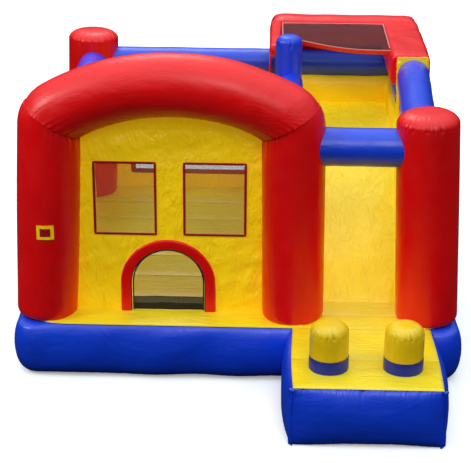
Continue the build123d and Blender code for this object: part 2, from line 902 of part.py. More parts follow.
sleeve_radius = inlet_radius
sleeve_end_y = nozzle_end_y + 80.0
strap_width = 25.0
strap_thickness = 2.0

with BuildPart() as inlet_sleeve:
    with BuildSketch(back_plane.offset(-sleeve_end_y)):
        with Locations(inlet_at):
            Circle(sleeve_radius)
            Circle(sleeve_radius - skin, mode=Mode.SUBTRACT)
    extrude(amount=sleeve_end_y - base_back_y + base_bottom_round)
    add(base_shape(0.0), mode=Mode.SUBTRACT)

with BuildPart() as sleeve_strap:
    with BuildSketch(back_plane.offset(-(sleeve_end_y - 20.0))):
        with Locations(inlet_at):
            Circle(sleeve_radius + strap_thickness)
            Circle(sleeve_radius, mode=Mode.SUBTRACT)
    extrude(amount=strap_width)
    with BuildSketch(Plane.XY.offset(nozzle_z + sleeve_radius + strap_thickness)):
        with Locations((blower_x, sleeve_end_y - 20.0 - strap_width / 2)):
            Rectangle(40.0, strap_width + 6.0)
    extrude(amount=9.0)
    with BuildSketch(Plane.XY.offset(nozzle_z + sleeve_radius - 8.0)):
        with Locations((blower_x, sleeve_end_y - 20.0 - strap_width / 2)):
            Rectangle(30.0, strap_width)
    extrude(amount=8.0 + strap_thickness)
    with BuildSketch(back_plane.offset(-(sleeve_end_y + 10.0))):
        with Locations(inlet_at):
            Circle(sleeve_radius)
    extrude(amount=strap_width + 40.0, mode=Mode.SUBTRACT)

# ---- blower -------------------------------------------------------------------------------

intake_radius = 80.0
motor_radius = 50.0
motor_length = 70.0
shaft_radius = 6.0
shaft_gap = 0.05
impeller_radius = 125.0
impeller_bore = 105.0
impeller_half_width = 55.0
blade_count = 24
hub_radius = 18.0
grille_thickness = 4.0
stand_top_z = 110.0
foot_height = 10.0
foot_radius = 16.0
foot_places = (180.0, 230.0)
side_plane = Plane(origin=(blower_x, blower_y, blower_z), x_dir=(0, 1, 0), z_dir=(1, 0, 0))


def volute(radius, half_width, bore):
    """The round casing with its outlet pipe towards the house."""
    with BuildPart(mode=Mode.PRIVATE) as shape:
        with BuildSketch(side_plane.offset(-half_width)):
            Circle(radius)
        extrude(amount=2 * half_width)
        with BuildSketch(back_plane.offset(-blower_y)):
            with Locations((blower_x, nozzle_z)):
                Circle(bore)
        extrude(amount=blower_y - nozzle_end_y)
    return shape.part


def casing():
    """The whole casing, hollow, with an intake in each side."""
    with BuildPart(mode=Mode.PRIVATE) as shape:
        add(volute(volute_radius, volute_half_width, nozzle_radius))
        add(
            volute(
                volute_radius - shell_wall, volute_half_width - shell_wall,
                nozzle_radius - shell_wall,
            ),
            mode=Mode.SUBTRACT,
        )
        with BuildSketch(side_plane.offset(-2 * volute_half_width)):
            Circle(intake_radius)
        extrude(amount=4 * volute_half_width, mode=Mode.SUBTRACT)
    return shape.part


with BuildPart() as blower_left_shell:
    add(casing())
    split(bisect_by=Plane.YZ.offset(blower_x), keep=Keep.BOTTOM)

with BuildPart() as blower_right_shell:
    add(casing())
    split(bisect_by=Plane.YZ.offset(blower_x), keep=Keep.TOP)


def grille(plane):
    """Rings on six spokes, screwed over an intake from outside; the plane faces outwards."""
    with BuildPart(mode=Mode.PRIVATE) as shape:
        with BuildSketch(plane):
            Circle(intake_radius + 12.0)
            Circle(intake_radius - 8.0, mode=Mode.SUBTRACT)
            for ring in (58.0, 44.0, 30.0):
                Circle(ring)
                Circle(ring - 4.0, mode=Mode.SUBTRACT)
            Circle(16.0)
            with PolarLocations(intake_radius / 2, 6):
                Rectangle(intake_radius, 5.0)
        extrude(amount=grille_thickness)
    return shape.part


left_side = side_plane.offset(-volute_half_width)

with BuildPart() as intake_grilles:
    add(grille(Plane(left_side.origin, x_dir=(0, 1, 0), z_dir=(-1, 0, 0))))
    add(grille(side_plane.offset(volute_half_width)))

with BuildPart() as blower_motor:
    with BuildSketch(side_plane.offset(-volute_half_width)):
        Circle(motor_radius)
    extrude(amount=motor_length)
    with BuildSketch(side_plane.offset(-volute_half_width + motor_length)):
        Circle(shaft_radius)
    extrude(amount=volute_half_width - motor_length + 25.0)

with BuildPart() as blower_impeller:
    with BuildSketch(side_plane.offset(-2.0)):
        Circle(impeller_radius)
    extrude(amount=4.0)
    with BuildSketch(side_plane.offset(-15.0)):
        Circle(hub_radius)
    extrude(amount=30.0)
    for start in (-impeller_half_width, impeller_half_width - 4.0):
        with BuildSketch(side_plane.offset(start)):
            Circle(impeller_radius)
            Circle(impeller_bore, mode=Mode.SUBTRACT)
        extrude(amount=4.0)
    with BuildSketch(side_plane.offset(-impeller_half_width)):
        with PolarLocations((impeller_radius + impeller_bore) / 2, blade_count):
            with Locations(Location((0, 0, 0), (0, 0, 35))):
                Rectangle(21.0, 2.0)
    extrude(amount=2 * impeller_half_width)
    with BuildSketch(side_plane.offset(-20.0)):
        Circle(shaft_radius + shaft_gap)
    extrude(amount=40.0, mode=Mode.SUBTRACT)

with BuildPart() as blower_stand:
    with BuildSketch(Plane.XY.offset(foot_height)):
        with Locations((blower_x, blower_y - 10.0)):
            RectangleRounded(260.0, 290.0, 30.0)
    extrude(amount=stand_top_z - foot_height)
    with BuildSketch(Plane.YZ.offset(blower_x - 140.0)):
        with Locations((blower_y - 10.0, foot_height)):
            Rectangle(150.0, 90.0)
    extrude(amount=280.0, mode=Mode.SUBTRACT)
    add(volute(volute_radius, volute_half_width, nozzle_radius), mode=Mode.SUBTRACT)
    with BuildSketch(side_plane.offset(-volute_half_width - 2 * grille_thickness)):
        Circle(intake_radius + 20.0)
    extrude(amount=2 * volute_half_width + 4 * grille_thickness, mode=Mode.SUBTRACT)

with BuildPart() as blower_feet:
    with BuildSketch():
        with Locations((blower_x, blower_y - 10.0)):
            with GridLocations(*foot_places, 2, 2):
                Circle(foot_radius)
    extrude(amount=foot_height)

handle_half_length = 75.0
handle_height = 45.0
handle_radius = 11.0

with BuildPart() as blower_handle:
    with BuildSketch(side_plane.offset(-handle_radius)):
        with Locations((0, volute_radius + handle_height / 2 - 15.0)):
            RectangleRounded(2 * handle_half_length, handle_height + 30.0, 20.0)
        with Locations((0, volute_radius + handle_height / 2 - 22.0)):
            RectangleRounded(
                2 * handle_half_length - 44.0, handle_height + 16.0, 14.0, mode=Mode.SUBTRACT
            )
    extrude(amount=2 * handle_radius)
    add(volute(volute_radius, volute_half_width, nozzle_radius), mode=Mode.SUBTRACT)

switch_face_x = blower_x + volute_half_width + 30.0
switch_middle = (blower_y + 95.0, blower_z + 80.0)
switch_box_size = (50.0, 36.0)
rocker_size = (17.0, 24.0)
rocker_gap = 1.5
rocker_depth = 9.0
rocker_lean = 10.0
rocker_pivot_x = switch_face_x - 3.0

with BuildPart() as switch_box:
    with BuildSketch(Plane.YZ.offset(blower_x + volute_half_width)):
        with Locations(switch_middle):
            RectangleRounded(*switch_box_size, 5.0)
    extrude(amount=30.0)
    with BuildSketch(Plane.YZ.offset(switch_face_x - rocker_depth - 3.0)):
        with Locations(switch_middle):
            Rectangle(rocker_size[0] + 2 * rocker_gap, rocker_size[1] + 2 * rocker_gap)
    extrude(amount=rocker_depth + 3.0, mode=Mode.SUBTRACT)

with BuildPart() as switch_rocker:
    with BuildSketch(
        Plane(
            origin=(rocker_pivot_x, switch_middle[0] - rocker_size[0] / 2, switch_middle[1]),
            x_dir=(cos(radians(rocker_lean)), 0, sin(radians(rocker_lean))),
            z_dir=(0, 1, 0),
        )
    ):
        with Locations((0, 0)):
            RectangleRounded(10.0, rocker_size[1], 2.0)
    extrude(amount=rocker_size[0])

with BuildPart() as cord_gland:
    gland_plane = back_plane.offset(-(switch_middle[0] + switch_box_size[0] / 2))
    with BuildSketch(Plane(gland_plane.origin, x_dir=(1, 0, 0), z_dir=(0, 1, 0))):
        with Locations((switch_face_x - 15.0, -switch_middle[1])):
            Circle(8.0)
    extrude(amount=18.0, taper=8)

with BuildPart() as housing_screws:
    with BuildSketch(side_plane.offset(-volute_half_width - 3.0)):
        with PolarLocations(volute_radius - 16.0, 4, start_angle=45):
            Circle(5.0)
    extrude(amount=3.0)

# ---- files --------------------------------------------------------------------------------

save(base_side_wall.part, "base_side_wall")
save(bounce_floor.part, "bounce_floor")
save(landing_side_wall.part, "landing_side_wall")
save(ground_sheets.part, "ground_sheets")
save(slide_run_out.part, "slide_run_out")
save(air_baffles.part, "air_baffles")
save(landing_bumpers.part, "landing_bumpers")
save(bumper_bands.part, "bumper_bands")
save(left_front_column.part, "left_front_column")
save(middle_front_column.part, "middle_front_column")
save(right_front_column.part, "right_front_column")
save(back_left_column.part, "back_left_column")
save(front_arch.part, "front_arch")
save(tower_post.part, "tower_post")
save(column_patch.part, "column_patch")
save(front_slide_beam.part, "front_slide_beam")
save(left_beam.part, "left_beam")
save(back_beam.part, "back_beam")
save(inner_beam.part, "inner_beam")
save(right_beam.part, "right_beam")
save(slide_ramp.part, "slide_ramp")
save(slide_bolsters.part, "slide_bolsters")
save(slide_outer_wall.part, "slide_outer_wall")
save(platform.part, "platform")
save(tower_back_wall.part, "tower_back_wall")
save(platform_bolsters.part, "platform_bolsters")
save(tower_side_beam.part, "tower_side_beam")
save(canopy_tubes.part, "canopy_tubes")
save(canopy_mesh.part, "canopy_mesh")
save(canopy_hems.part, "canopy_hems")
save(climbing_wall.part, "climbing_wall")
save(climbing_steps.part, "climbing_steps")
save(entrance_frame.part, "entrance_frame")
save(front_wall.part, "front_wall")
save(door_arch_band.part, "door_arch_band")
save(door_flap.part, "door_flap")
save(left_wall.part, "left_wall")
save(back_wall.part, "back_wall")
save(window_meshes.part, "window_meshes")
save(window_trims.part, "window_trims")
save(inner_wall.part, "inner_wall")
save(anchor_tabs.part, "anchor_tabs")
save(anchor_grommets.part, "anchor_grommets")
save(zip_tape.part, "zip_tape")
save(zip_slider.part, "zip_slider")
save(zip_pull.part, "zip_pull")
save(inlet_sleeve.part, "inlet_sleeve")
save(sleeve_strap.part, "sleeve_strap")
save(blower_left_shell.part, "blower_left_shell")
save(blower_right_shell.part, "blower_right_shell")
save(intake_grilles.part, "intake_grilles")
save(blower_motor.part, "blower_motor")
save(blower_impeller.part, "blower_impeller")
save(blower_stand.part, "blower_stand")
save(blower_feet.part, "blower_feet")
save(blower_handle.part, "blower_handle")
save(switch_box.part, "switch_box")
save(switch_rocker.part, "switch_rocker")
save(cord_gland.part, "cord_gland")
save(housing_screws.part, "housing_screws")
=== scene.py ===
import math

import bpy
import numpy as np
from mathutils import Matrix, Vector


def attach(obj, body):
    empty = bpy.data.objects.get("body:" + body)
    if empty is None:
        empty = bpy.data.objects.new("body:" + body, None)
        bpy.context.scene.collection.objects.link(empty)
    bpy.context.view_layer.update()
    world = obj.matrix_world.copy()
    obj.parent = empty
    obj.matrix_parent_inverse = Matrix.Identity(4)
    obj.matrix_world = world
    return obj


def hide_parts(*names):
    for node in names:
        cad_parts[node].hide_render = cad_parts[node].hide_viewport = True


# The looks of the inflatable bounce house: every air chamber and sheet of the CAD frame is
# replaced by a crowned, seamed and creased skin. Metres; -Y is the front, +X is to the right.

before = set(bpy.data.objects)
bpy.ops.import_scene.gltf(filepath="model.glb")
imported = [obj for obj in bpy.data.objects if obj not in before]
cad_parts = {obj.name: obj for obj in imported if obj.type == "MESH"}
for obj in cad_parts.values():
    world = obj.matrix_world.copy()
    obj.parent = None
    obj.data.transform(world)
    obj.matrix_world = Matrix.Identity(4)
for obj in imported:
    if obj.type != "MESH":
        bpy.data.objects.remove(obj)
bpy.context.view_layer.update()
HOUSE = "house"
TAU = 2 * math.pi

# ---- sizes, as in the CAD source

ROW_Y = -1.26
FLOOR_Z = 0.475
HALF_WIDTH = 1.84
FRONT_Y = ROW_Y - 0.33
BACK_Y = ROW_Y + 3.19
DECK_INSET = 0.06
COLUMN_RADIUS = 0.25
LEFT_FOOT = (-1.575, ROW_Y, FLOOR_Z)
LEFT_HEAD = (-1.485, ROW_Y, 2.15)
MIDDLE_FOOT = (0.455, ROW_Y, FLOOR_Z)
MIDDLE_HEAD = (0.425, ROW_Y, 2.15)
RIGHT_FOOT = (1.555, ROW_Y, FLOOR_Z)
RIGHT_HEAD = (1.475, ROW_Y, 2.165)
BACK_FOOT = (-1.555, ROW_Y + 2.84, FLOOR_Z)
BACK_HEAD = (-1.505, ROW_Y + 2.84, 2.07)
POST_FOOT = (0.397, ROW_Y + 1.8, FLOOR_Z)
POST_HEAD = (0.397, ROW_Y + 1.8, 2.305)
ARCH_RISE = 0.266
LANDING_X = (0.385, 1.63)
LANDING_Y = ROW_Y - 1.345
WALL_Y = ROW_Y + 0.005
WINDOW_X = -0.549
WINDOW_OFFSET = 0.361
WINDOW_SIZE = (0.49, 0.606)
WINDOW_Z = 1.469
DOOR_X = -0.57
DOOR_RADIUS = 0.3
DOOR_SPRING = 0.73
DOOR_BAND = 0.087
LEFT_WALL_X = -1.5
BACK_WALL_Y = ROW_Y + 2.958
SLIDE_X = (0.615, 1.355)
SLIDE_FOOT_Y = ROW_Y + 0.232
CREST_Y = ROW_Y + 1.4
PLATFORM_Z = 1.48
TOWER_X = (0.4, 1.675)
CANOPY_Z = 2.25
ARM_X = (1.305, 1.645)
ARM_FRONT_Y = ROW_Y + 1.61
ARM_Z = (1.978, CANOPY_Z)
TUBE_Y = (ROW_Y + 2.82, ROW_Y + 3.15)
BAFFLE_Y = [ROW_Y + 0.28 + 0.452 * number for number in range(6)]
NET_PITCH = 0.006

# ---- camera


def aim(yaw, pitch, roll):
    """The camera's turn: yaw to the right, pitch down, roll clockwise."""
    forward = Vector(
        (math.sin(yaw) * math.cos(pitch), math.cos(yaw) * math.cos(pitch), -math.sin(pitch))
    )
    right = Vector((math.cos(yaw), -math.sin(yaw), 0))
    up = right.cross(forward)
    turned_right = math.cos(roll) * right + math.sin(roll) * up
    turned_up = math.cos(roll) * up - math.sin(roll) * right
    return Matrix((turned_right, turned_up, -forward)).transposed()


camera_data = bpy.data.cameras.new("camera")
camera = bpy.data.objects.new("camera", camera_data)
bpy.context.scene.collection.objects.link(camera)
camera.matrix_world = Matrix.Translation((0.276, -11.521, 5.357)) @ aim(
    -0.029, 0.385, 0.007
).to_4x4()
camera_data.sensor_width = 36
camera_data.lens = 104.94
camera_data.clip_end = 200
bpy.context.scene.camera = camera

# ---- materials


def srgb(red, green, blue):
    """A linear colour with alpha from 0 to 255 screen values."""
    linear = []
    for value in (red, green, blue):
        share = value / 255
        linear.append(share / 12.92 if share <= 0.04045 else ((share + 0.055) / 1.055) ** 2.4)
    return (*linear, 1.0)


class Nodes:
    """Short calls for building the node tree of a material or the world."""

    def __init__(self, owner):
        self.owner = owner
        owner.use_nodes = True
        self.tree = owner.node_tree
        self.shader = self.tree.nodes.get("Principled BSDF")

    def node(self, kind, **settings):
        """A new node; a setting feeds the socket of its name, or else is a property."""
        made = self.tree.nodes.new(kind)
        for key, value in settings.items():
            if key in made.inputs:
                self.feed(made.inputs[key], value)
            else:
                setattr(made, key, value)
        return made

    def feed(self, socket, value):
        """Link an output to a socket, or set the socket to a plain value."""
        if isinstance(value, bpy.types.NodeSocket):
            self.tree.links.new(value, socket)
        else:
            socket.default_value = value

    def give(self, name, value):
        """Feed one of the shader's own sockets."""
        self.feed(self.shader.inputs[name], value)

    def place(self):
        return self.node("ShaderNodeTexCoord").outputs["Object"]

    def stretched(self, scale, turn):
        vector = self.place()
        made = self.node("ShaderNodeMapping", Scale=scale, Rotation=turn, Vector=vector)
        return made.outputs["Vector"]

    def noise(self, scale, detail=3.0, distortion=0.0, vector=None, roughness=0.5):
        made = self.node(
            "ShaderNodeTexNoise", Scale=scale, Detail=detail, Distortion=distortion,
            Roughness=roughness, Vector=vector or self.place(),
        )
        return made.outputs["Fac"]

    def bands(self, direction, scale):
        made = self.node(
            "ShaderNodeTexWave", wave_type="BANDS", bands_direction=direction, Scale=scale,
            Vector=self.place(),
        )
        return made.outputs["Fac"]

    def ramp(self, factor, low, high, low_at=0.35, high_at=0.65):
        made = self.node("ShaderNodeMapRange")
        for socket, value in zip(made.inputs[:5], (factor, low_at, high_at, low, high)):
            self.feed(socket, value)
        return made.outputs["Result"]

    def mix(self, factor, first, second):
        made = self.node("ShaderNodeMix", data_type="RGBA")
        for number, value in ((0, factor), (6, first), (7, second)):
            self.feed(made.inputs[number], value)
        return made.outputs[2]

    def bump(self, height, strength, distance, below=None):
        made = self.node("ShaderNodeBump", Strength=strength, Distance=distance, Height=height)
        if below is not None:
            self.feed(made.inputs["Normal"], below)
        return made.outputs["Normal"]


def scaled(colour, share):
    """The colour made darker or lighter by a factor."""
    return tuple(min(1.0, value * share) for value in colour[:3]) + (1.0,)


def vinyl(
    name, colour, wrinkle, stretch=(1, 1, 1), turn=(0, 0, 0), gloss=0.36, through=0.0,
    crinkle=0.6, coat=0.45,
):
    """Coated tarpaulin: satin skin, faint weave, soft wrinkles, and a painted glow (an emission of its
    own colour) that stands in for daylight coming through.
    """
    made = Nodes(bpy.data.materials.new(name))
    tone = made.noise(1.7, 4.0, 0.4)
    body = made.mix(made.ramp(tone, 0.0, 1.0, 0.3, 0.7), scaled(colour, 0.9), scaled(colour, 1.06))
    # the colour is darkened to half along seam lines, and as painted shade in crease valleys and shaded
    # inner corners, as the vertex attribute gives
    seam = made.node("ShaderNodeAttribute", attribute_name="seam").outputs["Fac"]
    body = made.mix(made.ramp(seam, 0.0, 0.55, 0.0, 1.0), body, scaled(colour, 0.5))
    scuffs = made.noise(38.0, 6.0, 0.6, roughness=0.65)
    body = made.mix(made.ramp(scuffs, 0.0, 0.16, 0.6, 0.82), body, scaled(colour, 1.5))
    made.give("Base Color", body)
    rough = made.noise(6.0, 5.0, 0.3)
    made.give("Roughness", made.ramp(rough, gloss - 0.05, gloss + 0.1))
    made.give("Specular IOR Level", 0.42)
    # painted light: the emission, at strength through, is a painted glow standing in for daylight
    # shining through the sheet
    made.give("Emission Color", colour)
    made.give("Emission Strength", through)
    made.give("Coat Weight", coat)
    made.give("Coat Roughness", 0.3)
    normal = made.bump(made.bands("DIAGONAL", 190.0), 0.08, 0.0006)
    folds = made.noise(3.2, 4.0, 1.1, made.stretched(stretch, turn), 0.55)
    normal = made.bump(folds, wrinkle, 0.05, normal)
    fine = made.noise(15.0, 3.0, 0.8, made.stretched(stretch, turn))
    normal = made.bump(fine, wrinkle * crinkle, 0.012, normal)
    made.give("Normal", normal)
    return made.owner


def net(name, colour, cover, directions):
    """Woven net in the plane of two directions, whose threads hide more of the view."""
    made = Nodes(bpy.data.materials.new(name))
    both = made.node("ShaderNodeMath", operation="MAXIMUM")
    for direction, socket in zip(directions, both.inputs):
        made.feed(socket, made.bands(direction, 0.314 / NET_PITCH))
    clouds = made.noise(2.2, 3.0, 0.5)
    body = made.mix(made.ramp(clouds, 0.0, 1.0), scaled(colour, 0.8), scaled(colour, 1.15))
    made.give("Base Color", body)
    made.give("Alpha", made.ramp(both.outputs[0], cover - 0.3, cover + 0.2, 0.3, 1.0))
    made.give("Roughness", 0.7)
    made.give("Normal", made.bump(both.outputs[0], 0.4, 0.001))
    return made.owner


def moulded(name, colour, roughness=0.5, metallic=0.0, grain=220.0):
    """Moulded plastic, rubber or metal with a fine grain and slight wear."""
    made = Nodes(bpy.data.materials.new(name))
    tone = made.noise(9.0, 4.0, 0.2)
    body = made.mix(made.ramp(tone, 0.0, 1.0), scaled(colour, 0.88), scaled(colour, 1.1))
    wear = made.node("ShaderNodeNewGeometry").outputs["Pointiness"]
    body = made.mix(made.ramp(wear, 0.0, 0.35, 0.52, 0.6), body, scaled(colour, 1.9))
    made.give("Base Color", body)
    made.give("Roughness", made.ramp(made.noise(24.0, 4.0), roughness - 0.08, roughness + 0.08))
    made.give("Metallic", metallic)
    made.give("Normal", made.bump(made.noise(grain, 2.0), 0.15, 0.0008))
    return made.owner


RED = srgb(246, 2, 6)
BLUE = srgb(9, 66, 226)
YELLOW = srgb(252, 208, 8)
# painted light: a lighter copy of the yellow, whose extra lightness paints in the sky sheen and light on
# the slide, tower and decks
SHEEN_LIGHTENED_YELLOW = srgb(248, 222, 26)
NET = srgb(104, 98, 72)

red = vinyl("red_vinyl", RED, 0.22, (1.6, 1.6, 0.45), coat=0.2)
red_arch = vinyl("red_vinyl_arch", RED, 0.22, (0.6, 1.6, 1.6), coat=0.2)
blue = vinyl("blue_vinyl", BLUE, 0.22, (0.7, 0.7, 1.2))
blue_beam = vinyl("blue_vinyl_beam", BLUE, 0.16)
# painted light: yellow, yellow_wall, yellow_slide and yellow_deck glow with that painted emission
# (through)
yellow = vinyl("yellow_vinyl", YELLOW, 0.45, through=0.18)
yellow_bumper = vinyl("yellow_vinyl_bumper", YELLOW, 0.3)
yellow_wall = vinyl(
    "yellow_vinyl_wall", YELLOW, 0.95, (1.5, 1.0, 0.8), (0, 0.7, 0), through=0.3, crinkle=1.1
)
yellow_slide = vinyl(
    "yellow_vinyl_slide", SHEEN_LIGHTENED_YELLOW, 0.95, (1.7, 0.8, 0.8), (0.3, 0, 0.5), through=0.28, crinkle=1.3
)
yellow_deck = vinyl("yellow_vinyl_deck", SHEEN_LIGHTENED_YELLOW, 0.4, (0.6, 1.8, 1), through=0.05)
maroon = vinyl("maroon_vinyl", srgb(178, 8, 30), 0.2)
blue_band = vinyl("blue_vinyl_band", srgb(6, 36, 166), 0.16, coat=0.05)
navy = vinyl("navy_vinyl", srgb(14, 16, 54), 0.15)
pale = vinyl("pale_webbing", srgb(222, 150, 142), 0.15)
grey = vinyl("grey_vinyl", srgb(84, 80, 62), 0.5, gloss=0.7)
black = vinyl("black_vinyl", srgb(5, 5, 5), 0.2, gloss=0.8)
ground = vinyl("ground_vinyl", srgb(30, 32, 50), 0.3, gloss=0.6)
white = vinyl("baffle_vinyl", srgb(214, 214, 208), 0.2, gloss=0.6)
khaki = net("khaki_net", NET, 0.5, "XZ")
khaki_side = net("khaki_net_side", NET, 0.5, "YZ")
dark_net = net("canopy_net", srgb(30, 6, 14), 0.66, "XY")
webbing = vinyl("black_webbing", srgb(18, 18, 20), 0.2, gloss=0.7)

# ---- meshes


def waves(turn, count, seed):
    """Slow uneven waves along a seam, from -1 to 1; turn is the share of the way along it."""
    shift = np.random.default_rng(seed).uniform(0, TAU, 3)
    first = np.sin(TAU * max(1, round(count / 5.3)) * turn + shift[0])
    second = np.sin(TAU * max(1, round(count / 2.7)) * turn + shift[1])
    return 0.6 * first + 0.4 * second


def creases(turn, count, seed):
    """Narrow uneven folds across a seam: 0 on their crowns and down to -1 in their valleys."""
    phase = math.pi * count * turn + 1.5 * waves(turn, count, seed)
    deep = 0.62 + 0.38 * waves(turn, count * 1.7, seed + 1)
    return -((1 - np.abs(np.sin(phase))) ** 1.8) * deep


def ripple(points, size, seed):
    """A smooth uneven field from -1 to 1 over an array of points."""
    chance = np.random.default_rng(seed)
    total = np.zeros(points.shape[:-1])
    for number in range(7):
        way = chance.normal(size=3)
        way *= TAU / (size * np.linalg.norm(way) * chance.uniform(0.7, 1.5))
        total += np.sin(points @ way + chance.uniform(0, TAU))
    return total / 3.2


def stack(*parts):
    """Points from their coordinates, all spread to one shape."""
    return np.stack(np.broadcast_arrays(*parts), axis=-1)


def lengths(path):
    """How far along a path each of its points is."""
    return np.concatenate(([0], np.cumsum(np.linalg.norm(np.diff(path, axis=0), axis=1))))


def loop_normals(loop):
    """The unit normals of a closed, counter-clockwise loop in a plane."""
    way = np.roll(loop, -1, 0) - np.roll(loop, 1, 0)
    way /= np.linalg.norm(way, axis=1, keepdims=True)
    return stack(way[:, 1], -way[:, 0])


def sampled(path, along, at):
    """The points of a flat path at some places along it."""
    return stack(np.interp(at, along, path[:, 0]), np.interp(at, along, path[:, 1]))


def spaced(path, step):
    """A closed path in equal steps: its points, how far along they are, and its corners' places."""
    along = lengths(path)
    count = int(along[-1] / step)
    at = np.arange(count) * along[-1] / count
    return sampled(path, along, at), at, along


def circle(count, first, second):
    """Shares of a turn, and the unit vectors there between two directions."""
    turn = np.arange(count) / count
    return turn, np.cos(TAU * turn)[:, None] * first + np.sin(TAU * turn)[:, None] * second


def normals(points, closed):
    """Unit normals of a grid of points."""
    if closed:
        across = np.roll(points, -1, 1) - np.roll(points, 1, 1)
    else:
        across = np.gradient(points, axis=1)
    along = np.gradient(points, axis=0)
    up = np.cross(across, along)
    length = np.linalg.norm(up, axis=2, keepdims=True)
    return up / np.maximum(length, 1e-9)


def grid_faces(rows, columns, closed, keep=None):
    """Quads of a grid, without those that keep leaves out."""
    last = columns if closed else columns - 1
    row, column = np.meshgrid(np.arange(rows - 1), np.arange(last), indexing="ij")
    after = (column + 1) % columns
    here, above = row * columns, (row + 1) * columns
    quads = stack(here + column, here + after, above + after, above + column)
    return quads.reshape(-1, 4) if keep is None else quads[keep]


def piece(name, vertices, faces, material, seam=None, body=HOUSE):
    """A new visible piece that rides on a body."""
    mesh = bpy.data.meshes.new(name)
    mesh.from_pydata([tuple(v) for v in vertices], [], [tuple(int(i) for i in f) for f in faces])
    mesh.update()
    made = bpy.data.objects.new(name, mesh)
    bpy.context.scene.collection.objects.link(made)
    mesh.materials.append(material)
    mesh.polygons.foreach_set("use_smooth", [True] * len(mesh.polygons))
    values = np.zeros(len(mesh.vertices), np.float32)
    if seam is not None:
        values[: len(seam)] = seam
    mesh.attributes.new("seam", "FLOAT", "POINT").data.foreach_set("value", values)
    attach(made, body)
    return made


def skin(name, points, material, closed=True, push=None, seam=None, capped=True):
    """A piece from a grid of points, pushed along its normals, with flat ends where asked."""
    if push is not None:
        points = points + normals(points, closed) * push[..., None]
    rows, columns = points.shape[:2]
    vertices = points.reshape(-1, 3)
    faces = grid_faces(rows, columns, closed).tolist()
    for row in (0, rows - 1) if capped else ():
        middle = len(vertices)
        vertices = np.vstack((vertices, points[row].mean(axis=0), points[row]))
        for column in range(columns):
            pair = (middle + 1 + column, middle + 1 + (column + 1) % columns)
            faces.append((middle, *(pair if row else pair[::-1])))
    marks = None if seam is None else seam.reshape(-1)
    return piece(name, vertices, faces, material, marks)


def join(name, parts):
    """One piece from several, with their materials."""
    with bpy.context.temp_override(
        active_object=parts[0], selected_editable_objects=parts, selected_objects=parts
    ):
        bpy.ops.object.join()
    parts[0].name = name
    return parts[0]


def stand_for(made, node, slot=None):
    """Hide the CAD node that a piece stands for; its slot, its material's first two words unless given,
    is worked out but not kept.
    """
    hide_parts(node)
    words = made.data.materials[0].name.split(".")[0].split("_")
    slot or "_".join(words[:2])


def replace(made, node=None, slot=None):
    """Hide the CAD node that an air-filled piece stands for."""
    stand_for(made, node or made.name.removesuffix("_skin"), slot)


def stretch_sheet(made, node):
    """Hide the thin CAD panel that a stretched sheet stands for."""
    stand_for(made, node)


def near(distance, reach):
    """1 at a seam, fading over a reach on both sides of it."""
    return np.exp(-np.abs(distance) / reach)


# ---- columns, arch and posts


FOOT_ROOM = 0.05
BULGE = 0.010
ARCH_COLUMNS = 144


def axes(foot, head):
    """A column's foot, its direction, and two directions across it."""
    base, top = np.array(foot), np.array(head)
    length = np.linalg.norm(top - base)
    along = (top - base) / length
    side = np.array((along[2], 0, -along[0]))
    return base, along, side, np.cross(along, side), length


def foot_round(height, radius, depth=0.09):
    """How much a column's radius draws in near its foot."""
    share = np.clip(1 - height / FOOT_ROOM, 0, 1)
    return radius * depth * (1 - np.sqrt(np.maximum(0, 1 - share**2)))


def column(name, foot, head, radius, dome, material, seed, columns=128, pleats=34, lift=0.0):
    """An upright chamber under a puckered dome."""
    base, along, side, front, length = axes(foot, head)
    shaft = np.concatenate((np.linspace(lift, 0.06 + lift, 7), np.linspace(0.09 + lift, length, 90)))
    foot_depth = 0.01 if lift else 0.09
    cap = np.linspace(0, 1, 34)[1:-1]
    height = np.concatenate((shaft, length + dome * np.sin(cap * math.pi / 2) ** 1.25))
    ring = np.concatenate(
        (
            radius * (1 + BULGE * np.sin(math.pi * shaft / length))
            - foot_round(shaft - lift, radius, foot_depth),
            radius * np.cos(cap * math.pi / 2) ** 0.55,
        )
    )
    turn, unit = circle(columns, side, front)
    points = base + height[:, None, None] * along + ring[:, None, None] * unit
    path = np.concatenate(([0], np.cumsum(np.hypot(np.diff(height), np.diff(ring)))))
    rim = path[len(shaft) - 1]
    from_rim = (path - rim)[:, None]
    folds = creases(turn, pleats, seed)
    reach = np.where(from_rim > 0, 0.15 * radius + 0.022, 0.018)
    push = 0.029 * folds * np.exp(-np.abs(from_rim) / reach)
    floor_folds = creases(turn, pleats + 5, seed + 7)
    push += radius * 0.02 * floor_folds * near(path[:, None], 0.07)
    push += radius * 0.012 * ripple(points * np.array((1, 1, 0.4)), 0.5, seed)
    seam = 0.8 * near(path[:, None], 0.012) * np.ones((1, columns))
    # painted shade: the dome's pucker valleys near the rim are darkened; the foot line is a plain seam
    # line
    seam = np.maximum(seam, -folds * 0.35 * near(from_rim, radius * 0.14))
    return skin(name, points, material, True, push, seam)


HALF_SPAN = (MIDDLE_HEAD[0] - LEFT_HEAD[0]) / 2
LINE_RADIUS = (HALF_SPAN**2 + ARCH_RISE**2) / (2 * ARCH_RISE)
ARCH_CENTRE = np.array(
    ((MIDDLE_HEAD[0] + LEFT_HEAD[0]) / 2, ROW_Y, LEFT_HEAD[2] + ARCH_RISE - LINE_RADIUS)
)


def mitre(foot, head, side):
    """The plane between a column and the arch: a point, its normal and the way into the bend."""
    _, along, _, _, _ = axes(foot, head)
    way = np.array((side * (LINE_RADIUS - ARCH_RISE), 0, HALF_SPAN))
    way /= np.linalg.norm(way)
    normal = along + way
    normal /= np.linalg.norm(normal)
    return np.array(head), normal, np.array((normal[2] * side, 0, -normal[0] * side))


def shoulder(distance, outer):
    """How far the outside of the bend is drawn in, near the corner seam."""
    return 0.052 * np.clip(1 - distance / 0.2, 0, 1) ** 2 * np.clip(outer, 0, 1)


